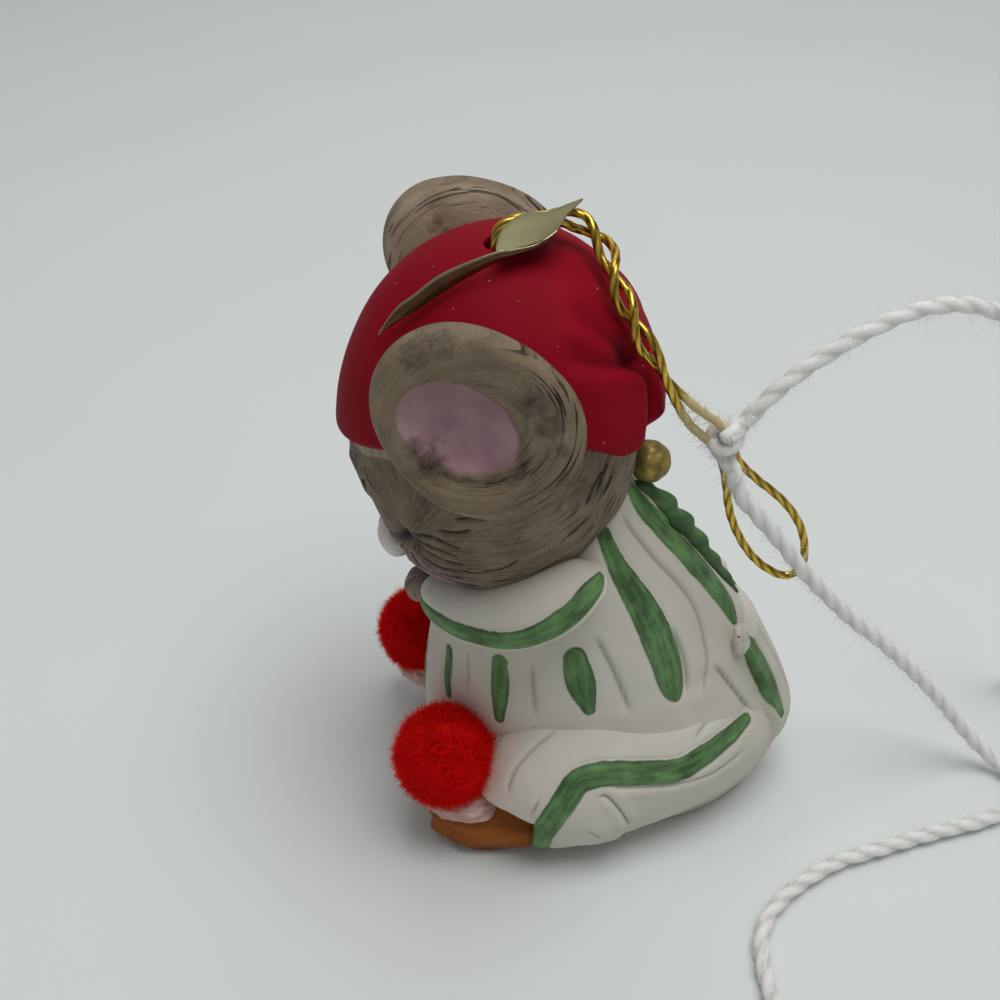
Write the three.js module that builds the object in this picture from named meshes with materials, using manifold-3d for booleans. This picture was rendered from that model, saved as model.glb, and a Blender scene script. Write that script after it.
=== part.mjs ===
// A christmas mouse ornament: a slip-cast bisque mouse in striped pyjamas and a
// nightcap, with pompoms on its slippers, a gold hanging loop, a folded paper tag
// and a cotton string tied to the loop. Millimetres, +Z up, the mouse faces -Y and
// its left side is +X. The origin is on the table under the middle of the mouse.
import * as THREE from 'three';
import { mergeVertices } from 'three/addons/utils/BufferGeometryUtils.js';
import Module from 'manifold-3d';

const wasm = await Module();
wasm.setup();

// Seams and walls
const SEAM = 0.3; // gap at every luted, glued or resting seam
const WALL = 2.4; // slip-cast wall of the hollow head and body
const VENT_BORE = 8; // pour hole in the base
const VENT_Y = 9;
const NECK_BORE = 8; // passage from the body into the head
const NECK_Y = -6;

// Body, lofted through level sections: each one's height, reach ahead of and behind the
// origin and half width, as shares of the largest
const BODY = { height: 42, front: 18, back: 24.1, half: 13.8 };
const BODY_SECTIONS = [
  { height: 0, front: 0.806, back: 0.871, half: 0.833 },
  { height: 0.095, front: 0.956, back: 0.963, half: 0.957 },
  { height: 0.214, front: 1, back: 1, half: 1 },
  { height: 0.357, front: 1, back: 0.913, half: 0.986 },
  { height: 0.571, front: 0.922, back: 0.722, half: 0.899 },
  { height: 0.762, front: 0.733, back: 0.49, half: 0.739 },
  { height: 0.905, front: 0.5, back: 0.282, half: 0.522 },
  { height: 1, front: 0.278, back: 0.116, half: 0.254 },
];
// Pleats on each side of the body, from the top down: turn from the side (degrees, positive to the
// back) and height of each place, and how far the cloth drops in front of the line
const PLEAT_FALL = 2.4; // distance over which a drop fades
const PLEAT_EDGE = 0.4; // roundness of its edge
const PLEAT_FADE = 2; // length over which each end fades
const PLEATS = [
  { drop: 0.35, line: [[85, 41], [78, 39.5], [72, 37.9], [81, 35.7], [89, 33.1], [90, 25.4]] },
  { drop: 0.5, line: [[40, 40.1], [44, 36], [51, 31.5], [52, 28.6], [47, 24.9], [44, 22.9], [35, 18.8]] },
  { drop: 0.5, line: [[45, 22.6], [48, 20], [52, 15.5], [54, 12.5]] },
  { drop: 0.35, line: [[35, 28.5], [34, 23.8], [30, 19.5]] },
  { drop: 0.35, line: [[1, 29.2], [6, 24.5], [9, 18.6]] },
  { drop: 0.3, line: [[-24, 25.5], [-23, 18]] },
  { drop: 0.3, line: [[-53, 24.5], [-50, 18]] },
];
const RUFFLE_RADIUS = 1.5; // scalloped bead down the spine
const RUFFLE_TOP = 38.5;
const RUFFLE_FOOT = 24;
const RUFFLE_SCALLOPS = 6;
const RUFFLE_WAVE = 0.16; // share of its radius that swells at each scallop
const FLAP_THICK = 0.9; // drop seat of the pyjamas
const FLAP_FOOT = 5; // its hem at the middle of the back
const FLAP_HEM_RISE = 2; // how much higher the hem is at its sides
const FLAP_TOP = 23.5;
const FLAP_HALF_ANGLE = 31;
const BUTTON_RADIUS = 1.3;
const BUTTON_INSET = 4; // degrees in from the flap's side
const BUTTON_DROP = 0.7; // down from the flap's top

// Head and nightcap, radial forms about one centre
const HEAD_LIFT = 6; // its middle above the top of the body
const HEAD_CENTRE = new THREE.Vector3(0, -8.5, BODY.height + HEAD_LIFT);
const HEAD = { side: 14.6, front: 15.0, back: 13.2, up: 18.2, down: 16.5 };
const MUZZLE = { x: 0, y: -0.66, z: -0.75, rise: 1.6, spread: 20 };
const CHEEK = { x: 0.62, y: -0.4, z: -0.68, rise: 1.9, spread: 30 };
const CAP_THICK = { side: 1.4, front: 2.4, back: 2.7, up: 2.7, down: 3.5 };
const BRIM_SIDE = 64; // brim angles down from the crown, in degrees
const BRIM_FRONT = 86;
const BRIM_BACK = 76;
const BRIM_DROOP = { turn: 42, spread: 12, drop: 6 }; // where the lobe hangs lower on each side
const LOBE = { turn: 38, down: 66, rise: 0.5, spread: 16 }; // puffed tail of the cap, folded down
// Creases that bound the lobe: turn and angle down from the crown of each place
const CREASES = [
  { depth: 0.7, width: 1.0, line: [[37, 34], [47, 42], [57, 51], [60, 59], [58, 68], [53, 80]] },
  { depth: 0.5, width: 0.8, line: [[29, 42], [36, 46], [48, 49], [60, 51]] },
];
const NOSE_RADIUS = 2.3;
const NOSE_SINK = 0.7; // its middle below the muzzle's surface
const BOBBLE_RADIUS = 2.2;
const BOBBLE_ANGLE = 110; // down from the crown, at the nape
const BOBBLE_SINK = 0.1;
const EAR_RADIUS = 9.6;
const EAR_THICK = 5.2;
const EAR_DISH = 1.8;
const EAR_TOWARDS = new THREE.Vector3(0.832, -0.182, 0.525); // left ear, from the head's middle
const EAR_STANDOFF = 2.2; // its middle beyond the nightcap

// Left limbs: stations along each one, then its radius there
const LIMB_ROUNDING = 0.3; // share of a limb's length that rounds off each end
const LEG_PATH = [
  [BODY.half - 9.3, BODY.back - 3.1, 9], [BODY.half - 5.2, 7, 9.2], [BODY.half - 2, -3, 8.6],
  [BODY.half - 1.8, 5.5 - BODY.front, 6.2],
];
const LEG_RADII = [6.0, 7.2, 6.9, 5.6];
const LEG_TALL = 1.2; // thigh height over its width
const SLEEVE_PATH = [
  [BODY.half - 4.8, 1.2, BODY.height - 5], [BODY.half - 1.8, -4.4, BODY.height - 8],
  [BODY.half - 3.6, 6.4 - BODY.front, BODY.height - 10.4],
  [4.8, 0.6 - BODY.front, BODY.height - 11.3],
];
const SLEEVE_RADII = [3.2, 4.2, 3.7, 3.0];
const PAW_RADIUS = 2.2;
const PAW_OFFSET = new THREE.Vector3(-1.6, -0.5, -0.7); // from the end of the sleeve
const SLIPPER_RADII = new THREE.Vector3(4.9, 6.6, 4.2);
const SLIPPER_OFFSET = new THREE.Vector3(-0.8, 0.7, -2.6); // from the end of the leg
const GLUE_FILM = 0.4;
const GLUE_RADII = new THREE.Vector3(4.2, 4.4, 1.9);
const GLUE_DROP = 5.2; // glue bead below the pompom's middle
const GLUE_BACK = 2; // and behind it
// Each pompom is sunk into its slipper's top, inward of and ahead of the slipper's middle
const POMPOMS = [
  { side: 'left', radius: 5.7, sink: 1.7, inward: 0.2, ahead: 4.2 },
  { side: 'right', radius: 5.3, sink: 1.5, inward: 0.2, ahead: 6.8 },
];

// Gold hanging cord: a doubled strand from the crown hole, then an open loop
const STRAND = 0.9;
const STRAND_SPACING = 1.36;
const PAIR_TURNS = 2;
const PAIR_TWIST_START = 0.4; // share of the pair's length where the strands start to wind
const CORD_STEP = 2; // diameters from ring to ring of a cord
const CROWN_BORE = 3.2;
const STOP_KNOT_RADIUS = 2;
const PAIR_ROUTE = [
  [2.2, -10, 63.2], [2.2, -10, 66], [2.2, -10, 68.5], [2.3, -9.4, 70.0], [2.0, -7.9, 70.5],
  [1.6, -6.0, 70.5], [1.1, -3.8, 70.4], [1.0, -1.8, 69.7], [2.4, -0.2, 68.5], [5.2, 0.6, 66.7],
  [7.3, 1.7, 64.2], [8.5, 3.1, 61.6], [8.5, 4.5, 59.2], [8.0, 5.8, 56.6],
];
const [CROWN_X, CROWN_Y, CORD_START] = PAIR_ROUTE[0];
const LOOP_ROUTE = [
  [7.2, 8.4, 51.6], [6.6, 10.8, 48.9], [6.3, 12.2, 46.4], [6.0, 12.9, 43.8], [5.8, 13.6, 40.4],
  [5.6, 14.7, 37.4], [5.4, 16.7, 34.0], [5.2, 18.9, 31.8], [5.0, 20.8, 30.8], [5.0, 22.2, 31.6],
  [5.1, 22.4, 33.6], [5.2, 21.7, 36.8], [5.4, 20.2, 39.6], [5.7, 18.2, 42.0], [6.0, 15.9, 44.2],
  [6.3, 13.7, 46.8], [6.5, 12.9, 49.0], [6.8, 11.2, 51.4], [7.3, 9.0, 53.4],
];

// Folded paper tag: stations down its length from the crown, then half width and lean there
const CROWN = HEAD_CENTRE.z + HEAD.up + CAP_THICK.up;
const TAG_THICK = 0.3;
const TAG_FOLD_BORE = 3.0;
const TAG_FOLD_RISE = 1.65; // middle of the fold above the crown
const TAG_FOLD_START = new THREE.Vector3(2.0, -7.7, CROWN + TAG_FOLD_RISE);
const TAG_FOLD_END = new THREE.Vector3(1.2, -4.0, CROWN + TAG_FOLD_RISE);
const TAG_PATH = [
  [3.8, -3.6, CROWN + 1.7], [4.7, -7, CROWN + 1.4], [5.9, -10.4, CROWN + 0.5],
  [6.6, -13.6, CROWN - 0.7], [7.0, -17.2, CROWN - 3.1], [6.8, -20.8, CROWN - 6.6],
];
const TAG_HALF_WIDTHS = [2.0, 2.1, 1.9, 1.8, 1.5, 0.5];
const TAG_LEANS = [-4, -2, 8, 34, 56, 66];

// Cotton string: its knot on the loop and two tails
const STRING = 1.7;
const KNOT_RADII = new THREE.Vector3(1.9, 1.9, 2.2);
const KNOT_CENTRE = new THREE.Vector3(6.6, 12.1, 49.6);
const UPPER_TAIL = [
  [6.5, 13.9, 51.2], [6.3, 15.8, 53.5], [5.8, 18.2, 55.6], [5.2, 21.4, 57.7], [4.6, 25.4, 59.9],
  [3.6, 30.0, 61.3], [2.2, 35.0, 61.0], [0.6, 40.0, 58.8], [-1.0, 44.2, 54.4], [-2.4, 47.6, 47.4],
  [-3.6, 50.0, 39.0], [-4.6, 51.8, 29.0], [-5.6, 53.2, 18.6], [-6.6, 54.8, 9.0], [-8.2, 57.0, 2.8],
  [-11.2, 59.4, 0.95], [-15.4, 60.6, 0.95],
];
const LOWER_TAIL = [
  [7.8, 12.9, 46.7], [8.0, 13.9, 43.8], [8.1, 15.9, 41.2], [8.0, 18.6, 37.8], [7.9, 21.4, 34.0],
  [7.3, 24.6, 30.0], [6.6, 28.4, 25.6], [5.8, 32.4, 21.6], [5.0, 37.2, 16.2], [4.4, 41.8, 10.6],
  [4.6, 46.0, 5.2], [5.6, 49.4, 1.8], [8.0, 51.4, 0.95], [11.2, 50.4, 0.95], [13.6, 46.4, 0.95],
  [15.1, 40.6, 0.95], [16.4, 35.6, 0.95], [17.7, 31.2, 0.95], [18.8, 27.4, 0.95], [20.8, 23.6, 0.95],
  [23.0, 20.4, 0.95], [25.5, 18.0, 0.95], [28.2, 16.6, 0.95], [31.0, 16.1, 0.95], [34.2, 16.0, 0.95],
  [37.4, 16.5, 0.95],
];

const finish = (color, roughness, metalness) =>
  new THREE.MeshStandardMaterial({ color, roughness, metalness });
const bisque = (color, roughness = 0.8) => finish(color, roughness, 0);
const gilt = (color, roughness = 0.35) => finish(color, roughness, 0.9);
const PYJAMAS = bisque('#cdc6bc');
const GREEN = bisque('#4f8a4c');
const FUR = bisque('#6f665b');
const PINK = bisque('#b98d86');
const MUZZLE_WHITE = bisque('#b9b3aa');
const CRIMSON = bisque('#7c1226', 0.6);
const OCHRE = bisque('#8f5a1c', 0.65);
const RED_WOOL = bisque('#d40f12', 1);
const GLUE = bisque('#d9b9ae', 0.35);
const GOLD_PAINT = gilt('#8a7a1e', 0.45);
const GOLD_THREAD = gilt('#b8962a');
const FOIL = gilt('#9a9a70');
const COTTON = bisque('#e6e2da', 1);

// Value at share t of an evenly spaced list, as a smooth curve through it.
function spline(values, t) {
  const x = THREE.MathUtils.clamp(t, 0, 1) * (values.length - 1);
  const i = Math.min(Math.floor(x), values.length - 2);
  const f = x - i;
  const at = (k) => values[THREE.MathUtils.clamp(i + k, 0, values.length - 1)];
  const [a, b, c, d] = [at(-1), at(0), at(1), at(2)];
  return b + 0.5 * f * (c - a + f * (2 * a - 5 * b + 4 * c - d + f * (3 * (b - c) + d - a)));
}

// Indexed geometry with its faces turned outward.
function geometryOf(points, triangles) {
  const [a, b, c] = [new THREE.Vector3(), new THREE.Vector3(), new THREE.Vector3()];
  let volume = 0;
  for (const [i, j, k] of triangles) {
    volume += a.copy(points[i]).dot(b.copy(points[j]).cross(c.copy(points[k])));
  }
  const index = triangles.flatMap(([i, j, k]) => (volume < 0 ? [i, k, j] : [i, j, k]));
  const geometry = new THREE.BufferGeometry().setFromPoints(points);
  geometry.setIndex(index);
  return geometry;
}

// Closed skin over rings of points, with one pole before the first ring and one after the last.
function skin(rings, startPole, endPole) {
  const around = rings[0].length;
  const points = [...rings.flat(), startPole, endPole];
  const [start, end] = [points.length - 2, points.length - 1];
  const last = (rings.length - 1) * around;
  const triangles = [];
  for (let i = 0; i < around; i += 1) {
    const n = (i + 1) % around;
    triangles.push([start, n, i], [end, last + i, last + n]);
    for (let r = 0; r < last; r += around) {
      triangles.push([r + i, r + n, r + around + n], [r + i, r + around + n, r + around + i]);
    }
  }
  return geometryOf(points, triangles);
}

// Slab between two grids of points with the same rows and columns.
function slab(rows, columns, outer, inner) {
  const grid = (f) => Array.from({ length: (rows + 1) * (columns + 1) }, (_, n) =>
    f(Math.floor(n / (columns + 1)) / rows, (n % (columns + 1)) / columns));
  const points = [...grid(outer), ...grid(inner)];
  const id = (r, c, face) => face * (rows + 1) * (columns + 1) + r * (columns + 1) + c;
  const triangles = [];
  const quad = (a, b, c, d) => triangles.push([a, b, c], [a, c, d]);
  for (let r = 0; r < rows; r += 1) {
    for (let c = 0; c < columns; c += 1) {
      quad(id(r, c, 0), id(r, c + 1, 0), id(r + 1, c + 1, 0), id(r + 1, c, 0));
      quad(id(r, c, 1), id(r + 1, c, 1), id(r + 1, c + 1, 1), id(r, c + 1, 1));
    }
    quad(id(r, 0, 0), id(r + 1, 0, 0), id(r + 1, 0, 1), id(r, 0, 1));
    quad(id(r + 1, columns, 0), id(r, columns, 0), id(r, columns, 1), id(r + 1, columns, 1));
  }
  for (let c = 0; c < columns; c += 1) {
    quad(id(0, c + 1, 0), id(0, c, 0), id(0, c, 1), id(0, c + 1, 1));
    quad(id(rows, c, 0), id(rows, c + 1, 0), id(rows, c + 1, 1), id(rows, c, 1));
  }
  return geometryOf(points, triangles);
}

function solid(geometry) {
  const bare = geometry.clone();
  bare.deleteAttribute('normal');
  bare.deleteAttribute('uv');
  const merged = mergeVertices(bare, 1e-4);
  return new wasm.Manifold(new wasm.Mesh({
    numProp: 3,
    vertProperties: new Float32Array(merged.attributes.position.array),
    triVerts: new Uint32Array(merged.index.array),
  }));
}

const cut = (piece, ...others) => others.reduce((left, other) => left.subtract(other), piece);
const join = (piece, ...others) => others.reduce((sum, other) => sum.add(other), piece);

function meshOf(name, piece, material) {
  const { vertProperties, triVerts } = piece.getMesh();
  const geometry = new THREE.BufferGeometry();
  geometry.setAttribute('position', new THREE.BufferAttribute(new Float32Array(vertProperties), 3));
  geometry.setIndex(new THREE.BufferAttribute(new Uint32Array(triVerts), 1));
  geometry.computeVertexNormals();
  const mesh = new THREE.Mesh(geometry, material);
  mesh.name = name;
  return mesh;
}

const mirrorX = (v) => new THREE.Vector3(-v.x, v.y, v.z);
const mirrorPath = (path) => path.map(([x, y, z]) => [-x, y, z]);
const vectors = (path) => path.map(([x, y, z]) => new THREE.Vector3(x, y, z));

function egg(centre, radii, grow = 0, around = 14, rings = 9) {
  const geometry = new THREE.SphereGeometry(1, around, rings);
  geometry.scale(radii.x + grow, radii.y + grow, radii.z + grow);
  geometry.translate(centre.x, centre.y, centre.z);
  return solid(geometry);
}

const ball = (centre, radius, grow = 0, around = 12, rings = 8) =>
  egg(centre, new THREE.Vector3(radius, radius, radius), grow, around, rings);

// Upright round rod, for bores.
function rod(x, y, bottom, top, diameter) {
  const geometry = new THREE.CylinderGeometry(diameter / 2, diameter / 2, top - bottom, 16);
  geometry.rotateX(Math.PI / 2);
  geometry.translate(x, y, (top + bottom) / 2);
  return solid(geometry);
}

// Body surface at turn a (0 is the left side, a quarter turn is the back) and share t of its height.
function bodyPoint(a, t, grow) {
  const level = (key) => BODY[key] * spline(BODY_SECTIONS.map((section) => section[key]), t);
  const [front, back] = [-level('front') - grow, level('back') + grow];
  return new THREE.Vector3(
    (level('half') + grow) * Math.cos(a),
    (front + back) / 2 + ((back - front) / 2) * Math.sin(a),
    level('height'),
  );
}

// Share of the body's section list at height z.
function bodyShare(z) {
  let [low, high] = [0, 1];
  for (let i = 0; i < 40; i += 1) {
    const t = (low + high) / 2;
    if (bodyPoint(0, t, 0).z < z) low = t;
    else high = t;
  }
  return low;
}

// Turn of a pleat's line at height z.
function pleatTurn(line, z) {
  const i = THREE.MathUtils.clamp(line.findIndex(([, height]) => height < z), 1, line.length - 1);
  const [[fromTurn, from], [toTurn, to]] = [line[i - 1], line[i]];
  return THREE.MathUtils.mapLinear(THREE.MathUtils.clamp(z, to, from), from, to, fromTurn, toTurn);
}

// How far the pleats drop the body's surface at turn a and share t of its height.
function pleatDrop(a, t) {
  const p = bodyPoint(a, t, 0);
  const turn = THREE.MathUtils.radToDeg(Math.atan2(Math.sin(a), Math.abs(Math.cos(a))));
  const girth = THREE.MathUtils.degToRad(Math.hypot(p.x, p.y));
  return PLEATS.reduce((sum, { drop, line }) => {
    const ahead = (pleatTurn(line, p.z) - turn) * girth;
    const [top, foot] = [line[0][1], line.at(-1)[1]];
    const low = THREE.MathUtils.smoothstep(p.z, foot, foot + PLEAT_FADE);
    const high = 1 - THREE.MathUtils.smoothstep(p.z, top - PLEAT_FADE, top);
    const edge = THREE.MathUtils.smoothstep(ahead, -PLEAT_EDGE, PLEAT_EDGE);
    return sum + drop * low * high * edge * Math.exp(-Math.max(ahead, 0) / PLEAT_FALL);
  }, 0);
}

function bodyForm(grow, from = 0, to = 1, around = 32, levels = 14, drop = () => 0) {
  const point = (a, t) => bodyPoint(a, t, grow - drop(a, t));
  const rings = Array.from({ length: levels + 1 }, (_, j) =>
    Array.from({ length: around }, (__, i) =>
      point((2 * Math.PI * i) / around, from + ((to - from) * j) / levels)));
  const middle = (ring) => ring.reduce((sum, p) => sum.add(p), new THREE.Vector3()).divideScalar(around);
  return solid(skin(rings, middle(rings[0]), middle(rings[levels])));
}

// Radius of an egg-like form along a direction, with one size each way.
function eggRadius(form, d) {
  const length = d.y < 0 ? form.front : form.back;
  const height = d.z > 0 ? form.up : form.down;
  return 1 / Math.hypot(d.x / form.side, d.y / length, d.z / height);
}

function swelling(d, place, side = 1) {
  const towards = new THREE.Vector3(side * place.x, place.y, place.z).normalize();
  const spread = 1 - Math.cos(THREE.MathUtils.degToRad(place.spread));
  return place.rise * Math.exp(-(1 - d.dot(towards)) / spread);
}

const headRadius = (d) =>
  eggRadius(HEAD, d) + swelling(d, MUZZLE) + swelling(d, CHEEK) + swelling(d, CHEEK, -1);
const capSize = (way) => HEAD[way] + CAP_THICK[way];
const CAP = Object.fromEntries(Object.keys(HEAD).map((way) => [way, capSize(way)]));

// Unit vector at turn a and angle p down from the crown.
const direction = (a, p) =>
  new THREE.Vector3(Math.sin(p) * Math.cos(a), Math.sin(p) * Math.sin(a), Math.cos(p));
const inDegrees = (turn, down) =>
  direction(THREE.MathUtils.degToRad(turn), THREE.MathUtils.degToRad(down));
const lobeMiddle = { ...LOBE, ...inDegrees(LOBE.turn, LOBE.down) };
const capRadius = (d) => eggRadius(CAP, d) + swelling(d, lobeMiddle) + swelling(d, lobeMiddle, -1);

// How deep the creases press into the cap along a direction.
const CREASE_SAMPLES = 40;
const creaseLines = CREASES.map(({ depth, width, line }) => {
  const at = (t) => [0, 1].map((k) => spline(line.map((place) => place[k]), t));
  const ways = Array.from({ length: CREASE_SAMPLES + 1 }, (_, i) => inDegrees(...at(i / CREASE_SAMPLES)));
  return { depth, width, ways };
});
function creaseDepth(d) {
  const sided = new THREE.Vector3(Math.abs(d.x), d.y, d.z);
  return creaseLines.reduce((sum, { depth, width, ways }) => {
    const gap = CAP.side * Math.min(...ways.map((way) => way.distanceTo(sided)));
    return sum + depth * Math.exp(-((gap / width) ** 2));
  }, 0);
}

// Angle of the brim below the crown, for a turn a.
function brimAngle(a) {
  const s = Math.sin(a);
  const front = (BRIM_FRONT - BRIM_SIDE) * Math.max(-s, 0) ** 2;
  const back = (BRIM_BACK - BRIM_SIDE) * Math.max(s, 0) ** 0.8;
  const turn = THREE.MathUtils.radToDeg(Math.atan2(s, Math.abs(Math.cos(a))));
  const droop = BRIM_DROOP.drop * Math.exp(-(((turn - BRIM_DROOP.turn) / BRIM_DROOP.spread) ** 2));
  return THREE.MathUtils.degToRad(BRIM_SIDE + front + back + droop);
}
const fromHead = (d, radius) => d.clone().multiplyScalar(radius).add(HEAD_CENTRE);

function radialRings(around, angles, radius) {
  return angles.map((angle) => Array.from({ length: around }, (_, i) => {
    const a = (2 * Math.PI * i) / around;
    const d = direction(a, typeof angle === 'function' ? angle(a) : angle);
    return fromHead(d, radius(d));
  }));
}

function headForm(grow, around = 26, levels = 14) {
  const angles = Array.from({ length: levels - 1 }, (_, j) => (Math.PI * (j + 1)) / levels);
  const radius = (d) => headRadius(d) + grow;
  const pole = (z) => fromHead(new THREE.Vector3(0, 0, z), radius(new THREE.Vector3(0, 0, z)));
  return solid(skin(radialRings(around, angles, radius), pole(1), pole(-1)));
}

// Nightcap skin from crown to brim, closed by its inner face or by a cone to the head's centre.
function capForm(grow, filled) {
  const margin = grow / CAP.side;
  const [around, levels] = filled ? [32, 8] : [64, 20];
  const angles = (count) => Array.from({ length: count }, (_, j) => (a) =>
    ((j + 1) / count) * (brimAngle(a) + margin));
  const outer = (d) => capRadius(d) + grow - (filled ? 0 : creaseDepth(d));
  const inner = (d) => headRadius(d) + SEAM;
  const crown = new THREE.Vector3(0, 0, 1);
  const rings = radialRings(around, angles(levels), outer);
  if (filled) return solid(skin(rings, fromHead(crown, outer(crown)), HEAD_CENTRE.clone()));
  rings.push(...radialRings(around, angles(levels / 2).reverse(), inner));
  return solid(skin(rings, fromHead(crown, outer(crown)), fromHead(crown, inner(crown))));
}

// Tapered limb along a smooth path, round at both ends.
function limbForm(path, radii, tall, grow, around = 16, steps = 14) {
  const curve = new THREE.CatmullRomCurve3(vectors(path));
  const rings = [];
  for (let j = 1; j < steps; j += 1) {
    const t = j / steps;
    const along = curve.getTangent(t);
    const across = new THREE.Vector3().crossVectors(along, new THREE.Vector3(0, 0, 1)).normalize();
    const upward = new THREE.Vector3().crossVectors(across, along);
    const end = Math.min(t, 1 - t) / LIMB_ROUNDING;
    const round = end < 1 ? Math.sqrt(1 - (1 - end) ** 2) : 1;
    const radius = spline(radii, t) * round + grow;
    rings.push(Array.from({ length: around }, (_, i) => {
      const a = (2 * Math.PI * i) / around;
      return curve.getPoint(t)
        .addScaledVector(across, radius * Math.cos(a))
        .addScaledVector(upward, radius * tall * Math.sin(a));
    }));
  }
  const start = curve.getPoint(0).addScaledVector(curve.getTangent(0), -grow);
  const finish = curve.getPoint(1).addScaledVector(curve.getTangent(1), grow);
  return solid(skin(rings, start, finish));
}

// Round ear, dished on its outer face and domed on its inner one.
function earForm(centre, outward, around = 22, levels = 8) {
  const rings = [];
  const dish = (p, r) => (p < Math.PI / 2 ? EAR_DISH * (1 - r * r) ** 2 : 0);
  const depth = (p, r) => (EAR_THICK / 2) * Math.cos(p) - dish(p, r);
  const place = (r, a, p) => new THREE.Vector3(
    outward * depth(p, r), EAR_RADIUS * r * Math.cos(a), EAR_RADIUS * r * Math.sin(a)).add(centre);
  for (let j = 1; j < levels; j += 1) {
    const p = (Math.PI * j) / levels;
    const r = Math.sin(p) ** 0.8;
    rings.push(Array.from({ length: around }, (_, i) => place(r, (2 * Math.PI * i) / around, p)));
  }
  return solid(skin(rings, place(0, 0, 0), place(0, 0, Math.PI)));
}

// Cord of a given thickness through its route.
function cordForm(route, diameter, grow = 0) {
  const extrudePath = new THREE.CatmullRomCurve3(route);
  const steps = Math.round(extrudePath.getLength() / (CORD_STEP * diameter));
  const section = new THREE.Shape().absarc(0, 0, diameter / 2 + grow, 0, 2 * Math.PI);
  const options = { steps, extrudePath, curveSegments: 4, bevelEnabled: false };
  return solid(new THREE.ExtrudeGeometry(section, options));
}

// One strand of the doubled cord: the pair's route, with the strand winding round it.
function strandRoute(side) {
  const curve = new THREE.CatmullRomCurve3(vectors(PAIR_ROUTE));
  const count = 2 * (PAIR_ROUTE.length - 1);
  return Array.from({ length: count + 1 }, (_, i) => {
    const t = i / count;
    const wound = THREE.MathUtils.smoothstep(t, PAIR_TWIST_START, 1);
    const along = curve.getTangent(t);
    const across = new THREE.Vector3(1, 0, 0).addScaledVector(along, -along.x).normalize();
    const over = new THREE.Vector3().crossVectors(along, across);
    const turn = 2 * Math.PI * PAIR_TURNS * wound + (side > 0 ? 0 : Math.PI);
    return curve.getPoint(t)
      .addScaledVector(across, (STRAND_SPACING / 2) * Math.cos(turn))
      .addScaledVector(over, (STRAND_SPACING / 2) * Math.sin(turn));
  });
}

// Paper tag: a twisted strip whose rear edge is folded round the cord.
function tagForm() {
  const curve = new THREE.CatmullRomCurve3(vectors(TAG_PATH));
  const face = (lift) => (t, c) => {
    const lean = THREE.MathUtils.degToRad(spline(TAG_LEANS, t));
    const across = new THREE.Vector3(Math.cos(lean), 0, Math.sin(lean));
    const upward = new THREE.Vector3(-Math.sin(lean), 0, Math.cos(lean));
    return curve.getPoint(t)
      .addScaledVector(across, (2 * c - 1) * spline(TAG_HALF_WIDTHS, t))
      .addScaledVector(upward, lift);
  };
  const strip = solid(slab(14, 2, face(TAG_THICK / 2), face(-TAG_THICK / 2)));
  const fold = new THREE.Vector3().subVectors(TAG_FOLD_END, TAG_FOLD_START);
  const middle = new THREE.Vector3().addVectors(TAG_FOLD_START, TAG_FOLD_END).divideScalar(2);
  const upright = new THREE.Vector3(0, 1, 0);
  const turn = new THREE.Quaternion().setFromUnitVectors(upright, fold.clone().normalize());
  const sleeve = (diameter, length) => {
    const geometry = new THREE.CylinderGeometry(diameter / 2, diameter / 2, length, 16);
    geometry.applyQuaternion(turn);
    geometry.translate(middle.x, middle.y, middle.z);
    return solid(geometry);
  };
  const wrap = sleeve(TAG_FOLD_BORE + 2 * TAG_THICK, fold.length());
  return cut(join(strip, wrap), sleeve(TAG_FOLD_BORE, 2 * fold.length()), capForm(SEAM, true));
}

const group = new THREE.Group();
const place = (name, piece, material) => group.add(meshOf(name, piece, material));

// Block of table under all that rests on it.
const tableSize = 2 * HEAD_CENTRE.z;
const below = new THREE.BoxGeometry(tableSize, tableSize, tableSize);
below.translate(0, 0, -tableSize / 2);
const table = solid(below);
const headBlock = headForm(SEAM);
const capBlock = capForm(SEAM, true);
const bodyBlock = bodyForm(SEAM);
const headFoot = HEAD_CENTRE.z - HEAD.down;
const stopKnotZ = CORD_START - SEAM - STOP_KNOT_RADIUS;
const crownBore = rod(CROWN_X, CROWN_Y, HEAD_CENTRE.z, HEAD_CENTRE.z + 2 * CAP.up, CROWN_BORE);
const neckBore = rod(0, NECK_Y, headFoot - 4 * WALL, headFoot + 4 * WALL, NECK_BORE);

const bodyCavity = bodyForm(-WALL, bodyShare(WALL), bodyShare(headFoot - 2 * WALL), 16, 6);
const ventBore = rod(0, VENT_Y, -WALL, 2 * WALL, VENT_BORE);
const pleated = bodyForm(0, 0, 1, 72, 26, pleatDrop);
place('body_shell', cut(pleated, headBlock, bodyCavity, ventBore, neckBore), PYJAMAS);
place('head', cut(headForm(0), headForm(-WALL, 14, 8), neckBore, crownBore), FUR);
place('nightcap', cut(capForm(0, false), crownBore, bodyBlock), CRIMSON);

const noseTowards = new THREE.Vector3(MUZZLE.x, MUZZLE.y, MUZZLE.z).normalize();
const noseCentre = fromHead(noseTowards, headRadius(noseTowards) - NOSE_SINK);
place('nose', cut(ball(noseCentre, NOSE_RADIUS), headBlock), MUZZLE_WHITE);

const nape = direction(Math.PI / 2, THREE.MathUtils.degToRad(BOBBLE_ANGLE));
const bobbleCentre = fromHead(nape, headRadius(nape) + BOBBLE_RADIUS - BOBBLE_SINK);
place('cap_bobble', cut(ball(bobbleCentre, BOBBLE_RADIUS), capBlock, headBlock, bodyBlock), GOLD_PAINT);

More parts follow.
